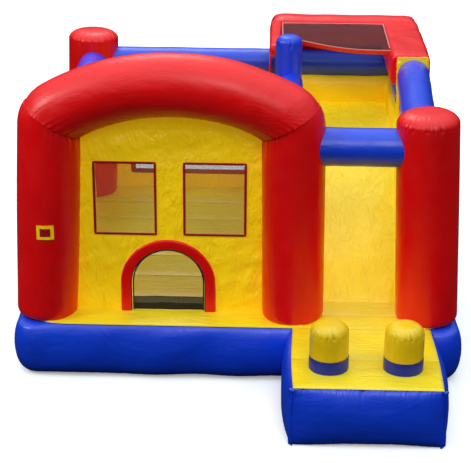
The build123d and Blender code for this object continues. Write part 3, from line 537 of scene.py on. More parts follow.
def mitred_column(name, foot, head, side, seed):
    """A front column up to its corner seam with the arch."""
    base, along, across, front, length = axes(foot, head)
    point, normal, inward = mitre(foot, head, side)
    turn, unit = circle(ARCH_COLUMNS, across, front)
    ring = COLUMN_RADIUS * unit
    outer = -side * np.cos(TAU * turn)
    top = ((point - base - ring) @ normal) / (along @ normal) + 0.004
    share = np.concatenate((np.linspace(0, 0.03, 6), np.linspace(0.045, 1, 92)))
    height = share[:, None] * top
    swell = 1 + BULGE * np.sin(math.pi * share) - foot_round(share * length, 1.0)
    points = base + height[..., None] * along + swell[:, None, None] * ring
    left = top - height
    folds = creases(turn, 30, seed)
    inner = 0.5 - 0.5 * outer
    push = 0.011 * (0.25 + inner) * folds * near(left, 0.07)
    push -= 0.012 * inner * near(left, 0.10) * (0.4 - folds)
    points = points + shoulder(left, outer)[..., None] * inward
    push += 0.005 * creases(turn, 41, seed + 3) * near(height, 0.07)
    push += 0.004 * ripple(points * np.array((1, 1, 0.35)), 0.5, seed)
    # painted shade: the corner seam's dark line is kept to the inner side of the bend, where it lies in
    # shade, and the fold valleys there are darkened
    seam = np.maximum(0.5 * inner**3 * near(left, 0.006), 0.8 * near(height, 0.012))
    seam = np.maximum(seam, -folds * 0.3 * inner * near(left, 0.06))
    return skin(name, points, red, True, push, seam)


def arch():
    """The bowed tube over the front wall, between the two corner seams."""
    turn = np.arange(ARCH_COLUMNS) / ARCH_COLUMNS
    angle = TAU * turn
    out = LINE_RADIUS + COLUMN_RADIUS * np.cos(angle)
    depth = ROW_Y + COLUMN_RADIUS * np.sin(angle)

    def at(bend):
        x = ARCH_CENTRE[0] + out * np.sin(bend)
        z = ARCH_CENTRE[2] + out * np.cos(bend)
        return stack(x, depth, z)

    limits, ways = [], []
    for foot, head, side in ((LEFT_FOOT, LEFT_HEAD, 1), (MIDDLE_FOOT, MIDDLE_HEAD, -1)):
        point, normal, inward = mitre(foot, head, side)
        ways.append(inward)
        low = np.full(ARCH_COLUMNS, -side * 1.1)
        high = np.zeros(ARCH_COLUMNS)
        for _ in range(40):
            middle = (low + high) / 2
            above = (at(middle) - point) @ normal > -0.003
            high = np.where(above, middle, high)
            low = np.where(above, low, middle)
        limits.append(high)
    share = np.linspace(0, 1, 130)[:, None]
    bend = limits[0] * (1 - share) + limits[1] * share
    points = at(bend)
    length = LINE_RADIUS * (limits[1] - limits[0])
    first, last = share * length, (1 - share) * length
    edge = np.minimum(first, last)
    folds = creases(turn, 30, 5)
    outer = np.cos(angle)
    inner = 0.5 - 0.5 * outer
    push = 0.011 * (0.25 + inner) * folds * near(edge, 0.07)
    push -= 0.012 * inner * near(edge, 0.10) * (0.4 - folds)
    points = points + shoulder(first, outer)[..., None] * ways[0]
    points = points + shoulder(last, outer)[..., None] * ways[1]
    gathers = creases(share, 64, 21) * np.clip(-outer, 0, 1) ** 2
    push += 0.006 * gathers + 0.004 * ripple(points, 0.6, 3)
    # painted shade: the corner seam's dark line is kept to the inner side of the bend, where it lies in
    # shade, and the fold valleys there are darkened
    seam = np.maximum(0.5 * inner**3 * near(edge, 0.006), -folds * 0.3 * inner * near(edge, 0.06))
    return skin("front_arch_skin", points, red_arch, True, push, seam)


replace(mitred_column("left_front_column_skin", LEFT_FOOT, LEFT_HEAD, 1, 11))
replace(mitred_column("middle_front_column_skin", MIDDLE_FOOT, MIDDLE_HEAD, -1, 12))
replace(arch())
RIGHT_RIM = (RIGHT_HEAD[0], RIGHT_HEAD[1], RIGHT_HEAD[2] - 0.02)
replace(column("right_front_column_skin", RIGHT_FOOT, RIGHT_RIM, COLUMN_RADIUS, 0.092, red, 31))
replace(column("back_left_column_skin", BACK_FOOT, BACK_HEAD, 0.24, 0.08, red, 33))
replace(column("tower_post_skin", POST_FOOT, POST_HEAD, 0.12, 0.07, blue_beam, 35, 84, 22))

# ---- base


def rounded_loop(x, y, corner, spacing):
    """A rectangle with round corners, counter-clockwise: points, normals, shares and length."""
    runs = []
    centres = (
        ((x[1] - corner, y[0] + corner), -90), ((x[1] - corner, y[1] - corner), 0),
        ((x[0] + corner, y[1] - corner), 90), ((x[0] + corner, y[0] + corner), 180),
    )
    for (centre_x, centre_y), start in centres:
        turn = np.radians(np.linspace(start, start + 90, 24))
        runs.append(stack(centre_x + corner * np.cos(turn), centre_y + corner * np.sin(turn)))
    loop, at, along = spaced(np.vstack((*runs, runs[0][:1])), spacing)
    return loop, loop_normals(loop), at / along[-1], along[-1]


# how far in, and how high, a side wall's skin runs from its ground seam to its deck seam
SIDE_PROFILE = np.array(
    (
        (0.150, 0.000), (0.112, 0.004), (0.078, 0.018), (0.050, 0.042), (0.026, 0.078), (0.010, 0.125),
        (0.001, 0.180), (-0.003, 0.240), (0.000, 0.300), (0.008, 0.355), (0.020, 0.402),
        (0.036, 0.438), (0.050, 0.458), (0.060, 0.469), (0.066, 0.4735), (0.074, 0.4725),
    )
)
LANDING_PROFILE = np.array(
    (
        (0.095, 0.000), (0.060, 0.008), (0.035, 0.030), (0.015, 0.080), (0.002, 0.160), (0.000, 0.240),
        (0.006, 0.310), (0.018, 0.375), (0.032, 0.425), (0.047, 0.455), (0.060, 0.469), (0.066, 0.4735),
        (0.074, 0.4725),
    )
)
CORNER_INSET = 0.062
SIDE_ROWS = 52


def side_profile(profile, rows):
    """A smoothed profile: how far in, how high, and how far below the deck seam its rows are."""
    along = lengths(profile)
    at = np.linspace(0, along[-1], rows)
    line = sampled(profile, along, at)
    for _ in range(3):
        line[1:-1] = (line[:-2] + 2 * line[1:-1] + line[2:]) / 4
    return line[:, 0], line[:, 1], along[-1] - at


FOOT_OVAL = np.array((0.40, 0.30))
ZIP_X, ZIP_HALF, ZIP_Z = -0.06, 0.285, 0.25


def under_column(loop, outward):
    """How much further in the side wall reaches, at the front corners, to go under the columns."""
    centre = np.array((DECK_X - FOOT_OVAL[0], DECK_Y[0] + FOOT_OVAL[1]))
    mirrored = stack(np.abs(loop[:, 0]), loop[:, 1])
    facing = stack(outward[:, 0] * np.sign(loop[:, 0]), outward[:, 1])
    place = (mirrored - centre) / FOOT_OVAL
    way = facing / FOOT_OVAL
    squared = (way**2).sum(axis=1)
    across = (place * way).sum(axis=1)
    room = np.maximum(across**2 - squared * ((place**2).sum(axis=1) - 1), 0)
    reach = (across - np.sqrt(room)) / squared
    inside = (place[:, 0] > 0) & (place[:, 1] < 0)
    return np.where(inside, np.clip(reach - 0.064, 0, 0.2), 0.0)


def at_zip(points):
    """1 where the deflation zip lies on the back of the base, fading to 0 round it."""
    beside = np.maximum(np.abs(points[..., 0] - ZIP_X) - ZIP_HALF, 0)
    over = np.maximum(np.abs(points[..., 2] - ZIP_Z) - 0.03, 0)
    behind = points[..., 1] > BACK_Y - 0.05
    return behind * np.clip(1 - np.hypot(beside, over) / 0.1, 0, 1)


def side_wall(
    name, loop, outward, turn, length, seed, closed, profile, gather, cover=0.0, bow=0.0, corner=99.0,
):
    """A blue side wall, drawn in with small gathers at its deck seam."""
    inward, height, from_top = side_profile(profile, SIDE_ROWS)
    reach = inward[:, None] + cover * np.clip(1 - from_top / 0.05, 0, 1)[:, None]
    pinch = near(corner, 0.13) * np.clip(from_top / 0.03, 0, 1)[:, None]
    reach = reach * (1 - pinch) + CORNER_INSET * pinch
    points = np.zeros((SIDE_ROWS, len(loop), 3))
    points[..., :2] = loop - outward * reach[..., None]
    points[..., 2] = height[:, None]
    gathers = creases(turn, length / 0.038, seed)
    broad = creases(turn, length / 0.17, seed + 1)
    fade = near(from_top - 0.02, 0.05)[:, None]
    low = near(height - 0.02, 0.05)[:, None]
    push = gather * gathers * fade + 0.8 * gather * broad * near(from_top, 0.12)[:, None]
    push += 0.003 * creases(turn, length / 0.09, seed + 2) * low
    push += 0.006 * ripple(points, 0.5, seed) * np.clip(from_top / 0.1, 0, 1)[:, None]
    push += bow * np.sin(math.pi * np.clip(height / 0.46, 0, 1))[:, None] ** 0.8
    corner_folds = creases(height / 0.475, 11, seed + 3)[:, None]
    push += 0.007 * corner_folds * near(corner, 0.05) * (1 - fade) * (1 - low)
    push = push * (1 - at_zip(points)) - 0.0035 * at_zip(points)
    # painted shade: besides the dark deck seam line, the valleys of the gathers under it are darkened
    seam = near(from_top, 0.010)[:, None] * 0.7 - 0.2 * gathers * fade * gather / 0.01
    points = points + normals(points, closed) * push[..., None]
    points[..., 2] = np.maximum(points[..., 2], 0.0)
    return skin(name, points, blue, closed, None, seam, False)


DECK_X = HALF_WIDTH - DECK_INSET
DECK_Y = (FRONT_Y + DECK_INSET, BACK_Y - DECK_INSET)
DECK_CORNER = 0.14

loop, outward, turn, length = rounded_loop(
    (-HALF_WIDTH, HALF_WIDTH), (FRONT_Y, BACK_Y), 0.2, 0.0125
)
base_skin = side_wall(
    "base_side_skin", loop, outward, turn, length, 41, True, SIDE_PROFILE, 0.003,
    under_column(loop, outward),
)
replace(base_skin, "base_side_wall")

loop, outward, turn, length = rounded_loop(LANDING_X, (LANDING_Y, FRONT_Y + 0.9), 0.03, 0.009)
forward = loop[:, 1] < FRONT_Y + 0.1
start = int(np.argmax(forward & ~np.roll(forward, 1)))
order = [k for k in np.roll(np.arange(len(loop)), -start) if forward[k]]
half_landing = (LANDING_X[1] - LANDING_X[0]) / 2
edge_x = np.abs(loop[order, 0] - sum(LANDING_X) / 2) / half_landing
edge_y = (loop[order, 1] - LANDING_Y) / (FRONT_Y - LANDING_Y)
side_bow = 0.03 * np.sin(math.pi * np.clip(edge_y, 0, 1)) ** 0.7
front_bow = 0.008 * np.cos(math.pi / 2 * np.clip(edge_x, 0, 1)) ** 0.6
corner_gap = np.hypot((1 - edge_x) * half_landing, edge_y * (FRONT_Y - LANDING_Y))
landing_skin = side_wall(
    "landing_side_skin", loop[order], outward[order], turn[order], length, 47, False,
    LANDING_PROFILE, 0.014, 0.0, np.where(edge_x > 0.97, side_bow, front_bow), corner_gap[None, :],
)
replace(landing_skin, "landing_side_wall")
DECK_STEP = 0.016
DECK_SWELL = 0.011


def deck(name, x_at, y, seams, seed, edges=(True, True)):
    """A quilted floor: x_at gives its left and right edge at each depth."""
    rows = int((y[1] - y[0]) / DECK_STEP)
    depth = np.linspace(y[0], y[1], rows)
    limits = np.array([x_at(value) for value in depth])
    columns = int((limits[:, 1] - limits[:, 0]).max() / DECK_STEP)
    share = np.linspace(0, 1, columns)
    x = limits[:, :1] * (1 - share) + limits[:, 1:] * share
    points = stack(x, depth[:, None], FLOOR_Z)
    gap = np.abs(depth[:, None] - np.array(seams)[None]).min(axis=1)[:, None]
    to_edge = np.minimum(depth - y[0], y[1] - depth)[:, None] * np.ones_like(x)
    if edges[0]:
        to_edge = np.minimum(to_edge, x - limits[:, :1])
    if edges[1]:
        to_edge = np.minimum(to_edge, limits[:, 1:] - x)
    crown = np.minimum(gap / 0.1, 1.0) ** 0.5
    height = DECK_SWELL * crown - 0.007 * near(gap, 0.02) - 0.002
    height = height * np.clip(to_edge / 0.03, 0, 1) ** 0.5
    width = x.max() - x.min()
    folds = creases((x - x.min()) / width, width / 0.062, seed)
    height += 0.0035 * folds * near(gap - 0.015, 0.035)
    edge_turn = (points[..., 0] + points[..., 1]) / 6.0
    height += 0.007 * creases(edge_turn, 150, seed + 1) * near(to_edge - 0.01, 0.05)
    height += 0.003 * ripple(points, 0.35, seed)
    points[..., 2] += np.where(to_edge < 0.004, -0.002, height)
    seam = np.maximum(near(gap, 0.007) * 0.5, near(to_edge, 0.006) * 0.6)
    return skin(name, points, yellow_deck, False, None, seam, False)


SPLIT_X = (MIDDLE_FOOT[0] + SLIDE_X[0]) / 2


def half_width(depth):
    """Half the deck's width at a depth, less in its round corners."""
    front_room = max(0.0, 1 - (depth - DECK_Y[0]) / FOOT_OVAL[1])
    back_room = max(0.0, 1 - (DECK_Y[1] - depth) / DECK_CORNER)
    front_cut = FOOT_OVAL[0] * (1 - math.sqrt(1 - front_room**2))
    return DECK_X - front_cut - DECK_CORNER * (1 - math.sqrt(1 - back_room**2))


chamber_deck = deck(
    "bounce_floor_skin", lambda depth: (-half_width(depth), SPLIT_X), DECK_Y, BAFFLE_Y, 51,
    (True, False),
)
replace(chamber_deck)
run_out = deck(
    "run_out_skin", lambda depth: (SPLIT_X, half_width(depth)), DECK_Y, [ROW_Y - 0.02, *BAFFLE_Y], 52,
    (False, True),
)


def landing_edge(depth):
    """The landing deck's edges, which bow out between its seams."""
    share = min(1.0, max(0.0, (depth - LANDING_Y) / (FRONT_Y - LANDING_Y)))
    bow = 0.012 * math.sin(math.pi * share) - 0.066
    return LANDING_X[0] - bow, LANDING_X[1] + bow


landing_deck = deck(
    "landing_deck_skin", landing_edge, (LANDING_Y + 0.066, DECK_Y[0] + 0.012), [ROW_Y - 0.80], 53
)
replace(join("slide_run_out_skin", [run_out, landing_deck]))

# ---- bumpers and beams

BUMPER_RADIUS = 0.15
BUMPER_Y = ROW_Y - 0.94
BAND_HEIGHT = 0.11
bumpers, bands = [], []
for number, x in enumerate((0.721, 1.287)):
    foot = (x, BUMPER_Y, FLOOR_Z)
    rim = (x, BUMPER_Y, FLOOR_Z + 0.303)
    bumpers.append(
        column(
            f"bumper_{number}", foot, rim, BUMPER_RADIUS, 0.082, yellow_bumper, 61 + number, 96, 19,
            lift=BAND_HEIGHT,
        )
    )
    turn, unit = circle(96, *np.eye(3)[:2])
    rise = np.linspace(-0.012, BAND_HEIGHT + 0.004, 12)
    flare = BUMPER_RADIUS * (1.008 + 0.01 * np.sin(math.pi * (rise + 0.012) / 0.126))
    middle = stack(x, BUMPER_Y, FLOOR_Z + rise)
    points = middle[:, None] + flare[:, None, None] * unit
    folds = 0.004 * creases(turn, 30, 66 + number) * near(rise, 0.03)[:, None]
    edge = 0.5 * near(rise - BAND_HEIGHT, 0.006)[:, None] * np.ones((1, 96))
    bands.append(skin(f"band_{number}", points, blue_band, True, folds, edge, False))
replace(join("landing_bumper_skins", bumpers), "landing_bumpers")
replace(join("bumper_band_skins", bands), "bumper_bands")


def beam(name, start, end, radius, material, seed, around=96, pleats=26):
    """A straight tube whose cloth gathers a little where it is sewn to its neighbours."""
    base, along, _, _, length = axes(start, end)
    side = np.cross(along, (0, 0, 1.0))
    side /= np.linalg.norm(side)
    over = np.cross(side, along)
    rows = max(24, int(length / 0.02))
    at = np.linspace(0, length, rows)
    turn, ring = circle(around, side, over)
    points = base + at[:, None, None] * along + radius * ring
    edge = np.minimum(at, length - at)[:, None]
    push = 0.05 * radius * creases(turn, pleats, seed) * near(edge - 0.05, 0.09)
    push += 0.02 * radius * ripple(points, 0.45, seed)
    return skin(name, points, material, True, -np.abs(push))


BEAM_Z = 1.848
BACK_BEAM_Y = BACK_WALL_Y - 0.13
for name, start, end, radius, seed in (
    ("front_slide_beam", (0.60, ROW_Y, 1.931), (1.36, ROW_Y, 1.931), 0.152, 71),
    ("left_beam", (-1.485, ROW_Y, BEAM_Z), (-1.485, BACK_HEAD[1], BEAM_Z), 0.131, 72),
    ("back_beam", (-1.40, BACK_BEAM_Y, BEAM_Z), (ARM_X[1], BACK_BEAM_Y, BEAM_Z), 0.131, 73),
    ("inner_beam", (0.41, ROW_Y + 0.1, 1.93), (0.41, POST_FOOT[1], 1.93), 0.115, 74),
    ("right_beam", (1.418, ROW_Y + 0.1, 2.06), (1.502, ARM_FRONT_Y, 2.07), 0.141, 75),
    ("tower_side_beam", (1.48, ARM_FRONT_Y, BEAM_Z), (1.48, BACK_BEAM_Y, BEAM_Z), 0.126, 76),
):
    replace(beam(f"{name}_skin", start, end, radius, blue_beam, seed))

# ---- pads


def outline(polygon, corner, step):
    """A polygon with soft corners: points, normals, distance to corners, shares and length."""
    points = np.array(polygon, float)
    following = np.roll(points, -1, 0)
    if np.sum(points[:, 0] * following[:, 1] - following[:, 0] * points[:, 1]) < 0:
        points = points[::-1]
    path, at, along = spaced(np.vstack((points, points[:1])), step)
    for _ in range(int(2 * (0.55 * corner / step) ** 2)):
        path = (np.roll(path, 1, 0) + 2 * path + np.roll(path, -1, 0)) / 4
    gap = np.abs(at[:, None] - along[None, :]).min(axis=1)
    return path, loop_normals(path), gap, at / along[-1], along[-1]


# the sizes of the rings that close a cushion's ends, as shares of its outline
END_RINGS = (0.97, 0.92, 0.84, 0.72, 0.56, 0.38, 0.2)


def pad(
    name, polygon, limits, axis, material, seed, corner=0.05, edge=0.05, crown=0.012, step=0.018,
    wrinkle=0.004, pleat=0.06,
):
    """A closed cushion: an outline swept along an axis, with crowned faces and gathered seams."""
    path, out, gap, turn, around = outline(polygon, corner, step)
    length = limits[1] - limits[0]
    edge = min(edge, length / 2 - 0.004)
    bend = np.linspace(0, math.pi / 2, 7)
    starts = edge * (1 - np.cos(bend))
    count = max(3, int((length - 2 * edge) / step))
    at = np.concatenate((starts, np.linspace(edge, length - edge, count)[1:-1], length - starts[::-1]))
    end_gap = np.minimum(at, length - at)
    short = np.clip(edge - end_gap, 0, edge)
    inset = edge - np.sqrt(np.maximum(edge**2 - short**2, 0))
    flat = path - out * inset[:, None, None]
    share = (np.minimum(gap / 0.12, 1.0) * np.ones_like(at)[:, None]) ** 0.5
    rise = crown * share * np.minimum(end_gap / 0.12, 1.0)[:, None] ** 0.5
    folds = creases(turn, around / pleat, seed)
    rise = rise + 0.006 * folds * near(end_gap - edge * 0.5, 0.05)[:, None]
    corner_folds = creases(at / length, length / pleat, seed + 1)[:, None]
    rise = rise + 0.006 * corner_folds * near(gap - 0.01, 0.05)
    flat = flat + out * rise[..., None]
    rows = [flat]
    place = [np.broadcast_to(at[:, None], flat.shape[:2])]
    middle = (path.min(axis=0) + path.max(axis=0)) / 2
    half = (path.max(axis=0) - path.min(axis=0)) / 2
    swell = min(1.8 * crown, 0.1 * half.min())
    for keep in END_RINGS:
        ring = middle + (path - middle) * (1 - edge / half) * keep
        reach = np.clip(1 - ((ring - middle) / half) ** 2, 0, 1)
        puff = swell * (1 - keep**8) * (reach[:, 0] * reach[:, 1])[None]
        rows = [ring[None], *rows, ring[None]]
        place = [-puff, *place, length + puff]
    two, third = np.concatenate(rows), np.concatenate(place) + limits[0]
    points = np.insert(two, axis, third, axis=-1)
    if axis != 1:
        points = points[::-1]
    push = wrinkle * ripple(points, 0.3, seed)
    row = np.arange(len(points))[:, None]
    row = np.minimum(row, row[::-1]) - len(END_RINGS)
    seam = np.maximum(0.8 * near(gap, 0.006) * (row > 0), 0.5 * ((row == 0) | (row == 1)))
    return skin(name, points, material, True, push, seam)


def rectangle(first, second):
    """A rectangle's corners from its limits in two directions."""
    return [(first[a], second[b]) for a, b in ((0, 0), (1, 0), (1, 1), (0, 1))]


SLOPE = (
    (SLIDE_FOOT_Y, FLOOR_Z), (CREST_Y, FLOOR_Z), (CREST_Y, PLATFORM_Z + 0.22),
    (SLIDE_FOOT_Y + 0.06, FLOOR_Z + 0.22),
)
RAMP = (
    (SLIDE_FOOT_Y - 0.02, FLOOR_Z - 0.02), (CREST_Y + 0.03, FLOOR_Z - 0.02),
    (CREST_Y + 0.03, PLATFORM_Z + 0.004),
)
ramp = pad(
    "slide_ramp_skin", RAMP, (SLIDE_X[0] - 0.03, SLIDE_X[1] + 0.03), 0, yellow_slide, 81,
    corner=0.03, edge=0.02, crown=0.006, wrinkle=0.003,
)
replace(ramp)
RIGHT_SIDE = (SLIDE_X[1] - 0.004, 1.445)
SIDE_TOP = rectangle((CREST_Y - 0.03, ARM_FRONT_Y), (PLATFORM_Z - 0.05, PLATFORM_Z + 0.22))
bolsters = [
    pad("bolster_left", SLOPE, (0.411, SLIDE_X[0] + 0.004), 0, yellow_slide, 82),
    pad("bolster_right", SLOPE, RIGHT_SIDE, 0, yellow_slide, 83, edge=0.04),
    pad("bolster_top", SIDE_TOP, RIGHT_SIDE, 0, yellow_slide, 84, edge=0.04),
]
replace(join("slide_bolster_skins", bolsters), "slide_bolsters")
outer = pad(
    "slide_outer_wall_skin", rectangle((ROW_Y + 0.16, ARM_FRONT_Y), (FLOOR_Z - 0.01, 1.9)),
    (1.445, 1.675), 0, yellow_slide, 85, crown=0.01,
)
replace(outer)
platform = pad(
    "platform_skin", rectangle((CREST_Y, BACK_WALL_Y), (FLOOR_Z - 0.01, PLATFORM_Z)),
    (TOWER_X[0], TOWER_X[1] - 0.014), 0, yellow_slide, 86, corner=0.02, crown=0.01, wrinkle=0.008,
)
replace(platform)
tower_wall = pad(
    "tower_back_wall_skin", rectangle(TOWER_X, (FLOOR_Z - 0.01, 1.978)), (1.702, 1.87), 1,
    yellow_slide, 87, edge=0.07, crown=0.01,
)
replace(tower_wall)
tops = [
    pad(
        "bolster_back", rectangle((1.43, 1.70), (PLATFORM_Z - 0.02, 1.74)), (0.45, 1.62), 0, yellow,
        88, corner=0.09, crown=0.02,
    ),
    pad(
        "bolster_side", rectangle((1.355, 1.645), (PLATFORM_Z - 0.02, 1.72)), (ARM_FRONT_Y, 1.45), 1,
        yellow, 89, corner=0.04,
    ),
]
replace(join("platform_bolster_skins", tops), "platform_bolsters")

canopy = [
    pad(
        "canopy_back", rectangle(TUBE_Y, ARM_Z), (0.225, ARM_X[1]), 0, red_arch, 91, corner=0.12,
        edge=0.07, crown=0.032, pleat=0.05,
    ),
    pad(
        "canopy_right", rectangle(ARM_X, ARM_Z), (ARM_FRONT_Y + 0.004, TUBE_Y[0] + 0.1), 1, red, 92,
        corner=0.06, edge=0.02, crown=0.012, pleat=0.05,
    ),
    pad(
        "canopy_left", rectangle((0.225, 0.335), (CANOPY_Z - 0.11, CANOPY_Z)),
        (POST_FOOT[1] + 0.1, TUBE_Y[0] + 0.1), 1, red, 93, corner=0.035, edge=0.03, crown=0.006,
    ),
]
replace(join("canopy_tube_skins", canopy), "canopy_tubes")

climb = pad(
    "climbing_wall_skin",
    ((0.15, FLOOR_Z - 0.01), (0.41, FLOOR_Z - 0.01), (0.41, PLATFORM_Z), (0.33, PLATFORM_Z)),
    (0.67, 1.638), 1, red, 94, corner=0.03, edge=0.03,
)
replace(climb)
steps = []
for number in range(4):
    rise = 0.22 * (number + 0.8)
    x = 0.15 + rise * 0.18 / (PLATFORM_Z - FLOOR_Z)
    steps.append(
        beam(
            f"step_{number}", (x, 0.765, FLOOR_Z + rise), (x, 1.338, FLOOR_Z + rise), 0.05, yellow,
            95 + number, 40, 12,
        )
    )
replace(join("climbing_step_skins", steps), "climbing_steps")

# ---- sheets


def lines(low, high, step, *through):
    """Grid lines from low to high, with one exactly at each given value."""
    marks = sorted({low, high, *[value for value in through if low < value < high]})
    runs = []
    for first, last in zip(marks, marks[1:]):
        runs.append(np.linspace(first, last, max(2, int((last - first) / step) + 1))[:-1])
    return np.concatenate((*runs, [high]))


def touching(cells):
    """The grid points that touch a marked cell."""
    marked = np.pad(cells, 1)
    return marked[1:, 1:] | marked[1:, :-1] | marked[:-1, 1:] | marked[:-1, :-1]


def upright(name, across, up, place, material, holes, seed, slack, marks=(), door=None):
    """A stretched wall: a grid of two directions, put in place, without its openings."""
    first, second = np.meshgrid(across, up)
    centre_first = (first[:-1, :-1] + first[1:, 1:]) / 2
    centre_second = (second[:-1, :-1] + second[1:, 1:]) / 2
    keep = np.ones(centre_first.shape, bool)
    from_hole = np.full(first.shape, 9.0)
    for low_first, high_first, low_second, high_second in holes:
        keep &= ~(
            (centre_first > low_first) & (centre_first < high_first)
            & (centre_second > low_second) & (centre_second < high_second)
        )
        out_first = np.maximum(low_first - first, first - high_first)
        out_second = np.maximum(low_second - second, second - high_second)
        from_hole = np.minimum(
            from_hole, np.hypot(np.maximum(out_first, 0), np.maximum(out_second, 0))
        )
    if door is not None:
        door_at, spring, radius = door
        drop = centre_second - spring
        inside = np.hypot(centre_first - door_at, np.maximum(drop, 0)) < radius
        rim = touching(inside) & touching(~inside)
        above = np.maximum(second - spring, 0)
        reach = np.hypot(first - door_at, above)
        factor = np.where(rim & (reach > 0.5 * radius), radius / np.maximum(reach, 1e-6), 1.0)
        moved = door_at + (first - door_at) * factor
        second = np.where(rim & (above > 0), spring + above * factor, second)
        first = np.where(rim, moved, first)
        keep &= ~inside
        from_hole = np.minimum(from_hole, np.abs(reach - radius))
    points, limit = place(first, second)
    normal = normals(points, False)
    slanted = points + points[..., [2, 1, 0]] * np.array((0.8, 0, -0.8))
    fold_field = ripple(points, 0.42, seed) + 0.6 * ripple(slanted, 0.17, seed + 1)
    rise = slack * fold_field * np.clip((from_hole - 0.03) / 0.1, 0.05, 1)
    seam = 0.5 * near(from_hole, 0.008)
    for value in marks:
        rise = rise - 0.004 * near(second - value, 0.01)
        rise = rise + 0.003 * creases(first / 2.0, 40, seed + 5) * near(second - value, 0.06)
        seam = np.maximum(seam, 0.7 * near(second - value, 0.004))
    points = points + normal * (rise * limit)[..., None]
    sizes = np.linalg.norm(
        np.cross(points[1:, 1:] - points[:-1, :-1], points[1:, :-1] - points[:-1, 1:]), axis=2
    )
    keep &= sizes > 1e-7
    rows, columns = first.shape
    faces = grid_faces(rows, columns, False, keep)
    used, faces = np.unique(faces, return_inverse=True)
    faces = faces.reshape(-1, 4)
    return piece(name, points.reshape(-1, 3)[used], faces, material, seam.reshape(-1)[used])


def between(first, last, height):
    """How far along a leaning column's line a height is: the line's x there."""
    share = (height - first[2]) / (last[2] - first[2])
    return first[0] + (last[0] - first[0]) * share


WALL_CHORD = COLUMN_RADIUS - 0.006
HALF_WINDOW = (WINDOW_SIZE[0] / 2, WINDOW_SIZE[1] / 2)
WINDOWS = [
    (x - HALF_WINDOW[0], x + HALF_WINDOW[0], WINDOW_Z - HALF_WINDOW[1], WINDOW_Z + HALF_WINDOW[1])
    for x in (WINDOW_X - WINDOW_OFFSET, WINDOW_X + WINDOW_OFFSET)
]


def on_front(first, second):
    """Front wall points, held inside the columns and the arch."""
    top = ARCH_CENTRE[2] + np.sqrt(
        np.maximum((LINE_RADIUS - WALL_CHORD) ** 2 - (first - ARCH_CENTRE[0]) ** 2, 0.01)
    )
    z = np.minimum(second, top)
    x = np.clip(
        first, between(LEFT_FOOT, LEFT_HEAD, z) + WALL_CHORD,
        between(MIDDLE_FOOT, MIDDLE_HEAD, z) - WALL_CHORD,
    )
    edge = np.minimum(top - z, z - FLOOR_Z)
    points = stack(x, WALL_Y + 0.001, z)
    points[..., 1] -= 0.012 * np.sin(math.pi * np.clip((z - FLOOR_Z) / 1.7, 0, 1))
    return points, np.clip(edge / 0.05, 0, 1)


front = upright(
    "front_wall_sheet",
    lines(-1.35, 0.25, 0.0125, *[value for window in WINDOWS for value in window[:2]]),
    lines(FLOOR_Z - 0.004, 2.19, 0.0125, WINDOWS[0][2], WINDOWS[0][3], DOOR_SPRING),
    on_front, yellow_wall, WINDOWS, 101, 0.009, (2.048, WINDOWS[0][3] + 0.008, WINDOWS[0][2] - 0.008),
    (DOOR_X, DOOR_SPRING, DOOR_RADIUS + 0.004),
)
stretch_sheet(front, "front_wall")

SIDE_WINDOW = (ROW_Y + 0.67, ROW_Y + 2.17, 0.86, 1.62)
BACK_WINDOW = (-1.155, 0.045, 0.655, 1.615)


def on_plane(axis, place):
    """A function that puts wall points on the upright plane at a place along an axis."""

    def put(first, second):
        points = stack(place, first, second) if axis == 0 else stack(first, place, second)
        return points, np.clip((second - FLOOR_Z) / 0.05, 0, 1)

    return put


on_left = on_plane(0, LEFT_WALL_X)
on_back = on_plane(1, BACK_WALL_Y + 0.001)

left = upright(
    "left_wall_sheet", lines(ROW_Y + 0.05, BACK_HEAD[1] - 0.04, 0.02, *SIDE_WINDOW[:2]),
    lines(FLOOR_Z - 0.004, BEAM_Z - 0.128, 0.02, *SIDE_WINDOW[2:]), on_left, yellow_wall, [SIDE_WINDOW],
    104, 0.006,
)
stretch_sheet(left, "left_wall")
back = upright(
    "back_wall_sheet", lines(-1.36, TOWER_X[0], 0.02, *BACK_WINDOW[:2]),
    lines(FLOOR_Z - 0.004, BEAM_Z - 0.1, 0.02, *BACK_WINDOW[2:]), on_back, yellow_wall,
    [BACK_WINDOW], 106, 0.006,
)
stretch_sheet(back, "back_wall")
inner = upright(
    "inner_wall_net", lines(ROW_Y + 0.22, CREST_Y, 0.025), lines(FLOOR_Z, 1.83, 0.025),
    on_plane(0, 0.41), khaki_side, (), 108, 0.004,
)
stretch_sheet(inner, "inner_wall")

# each window's limits, place and net, and its binding's facing, shift and width
OPENINGS = (
    (WINDOWS[0], on_front, khaki, (0, 1, 0), (0, -0.004, 0), 0.021),
    (WINDOWS[1], on_front, khaki, (0, 1, 0), (0, -0.004, 0), 0.021),
    (SIDE_WINDOW, on_left, khaki_side, (1, 0, 0), (0.003, 0, 0), 0.05),
    (BACK_WINDOW, on_back, khaki, (0, 1, 0), (0, -0.003, 0), 0.05),
)
window_nets = []
for number, (window, place, material, _, _, _) in enumerate(OPENINGS):
    across, up = lines(*window[:2], 0.02), lines(*window[2:], 0.02)
    window_nets.append(
        upright(f"window_net_{number}", across, up, place, material, (), 110 + number, 0.003)
    )
stretch_sheet(join("window_nets", window_nets), "window_meshes")


def on_canopy(first, second):
    """The canopy net, which rises to the post at its free corner."""
    across = np.clip((ARM_X[0] - first) / (ARM_X[0] - 0.335), 0, 1)
    forward = (TUBE_Y[0] - second) / 0.98
    rise = 0.075 * across * forward - 0.03 * np.sin(math.pi * across) * forward**4
    return stack(first, second, CANOPY_Z - 0.02 + rise), np.ones(first.shape)


mesh_net = upright(
    "canopy_net", lines(0.325, ARM_X[0] + 0.01, 0.025), lines(ROW_Y + 1.84, TUBE_Y[0] + 0.02, 0.025),
    on_canopy, dark_net, (), 120, 0.006,
)
stretch_sheet(mesh_net, "canopy_mesh")


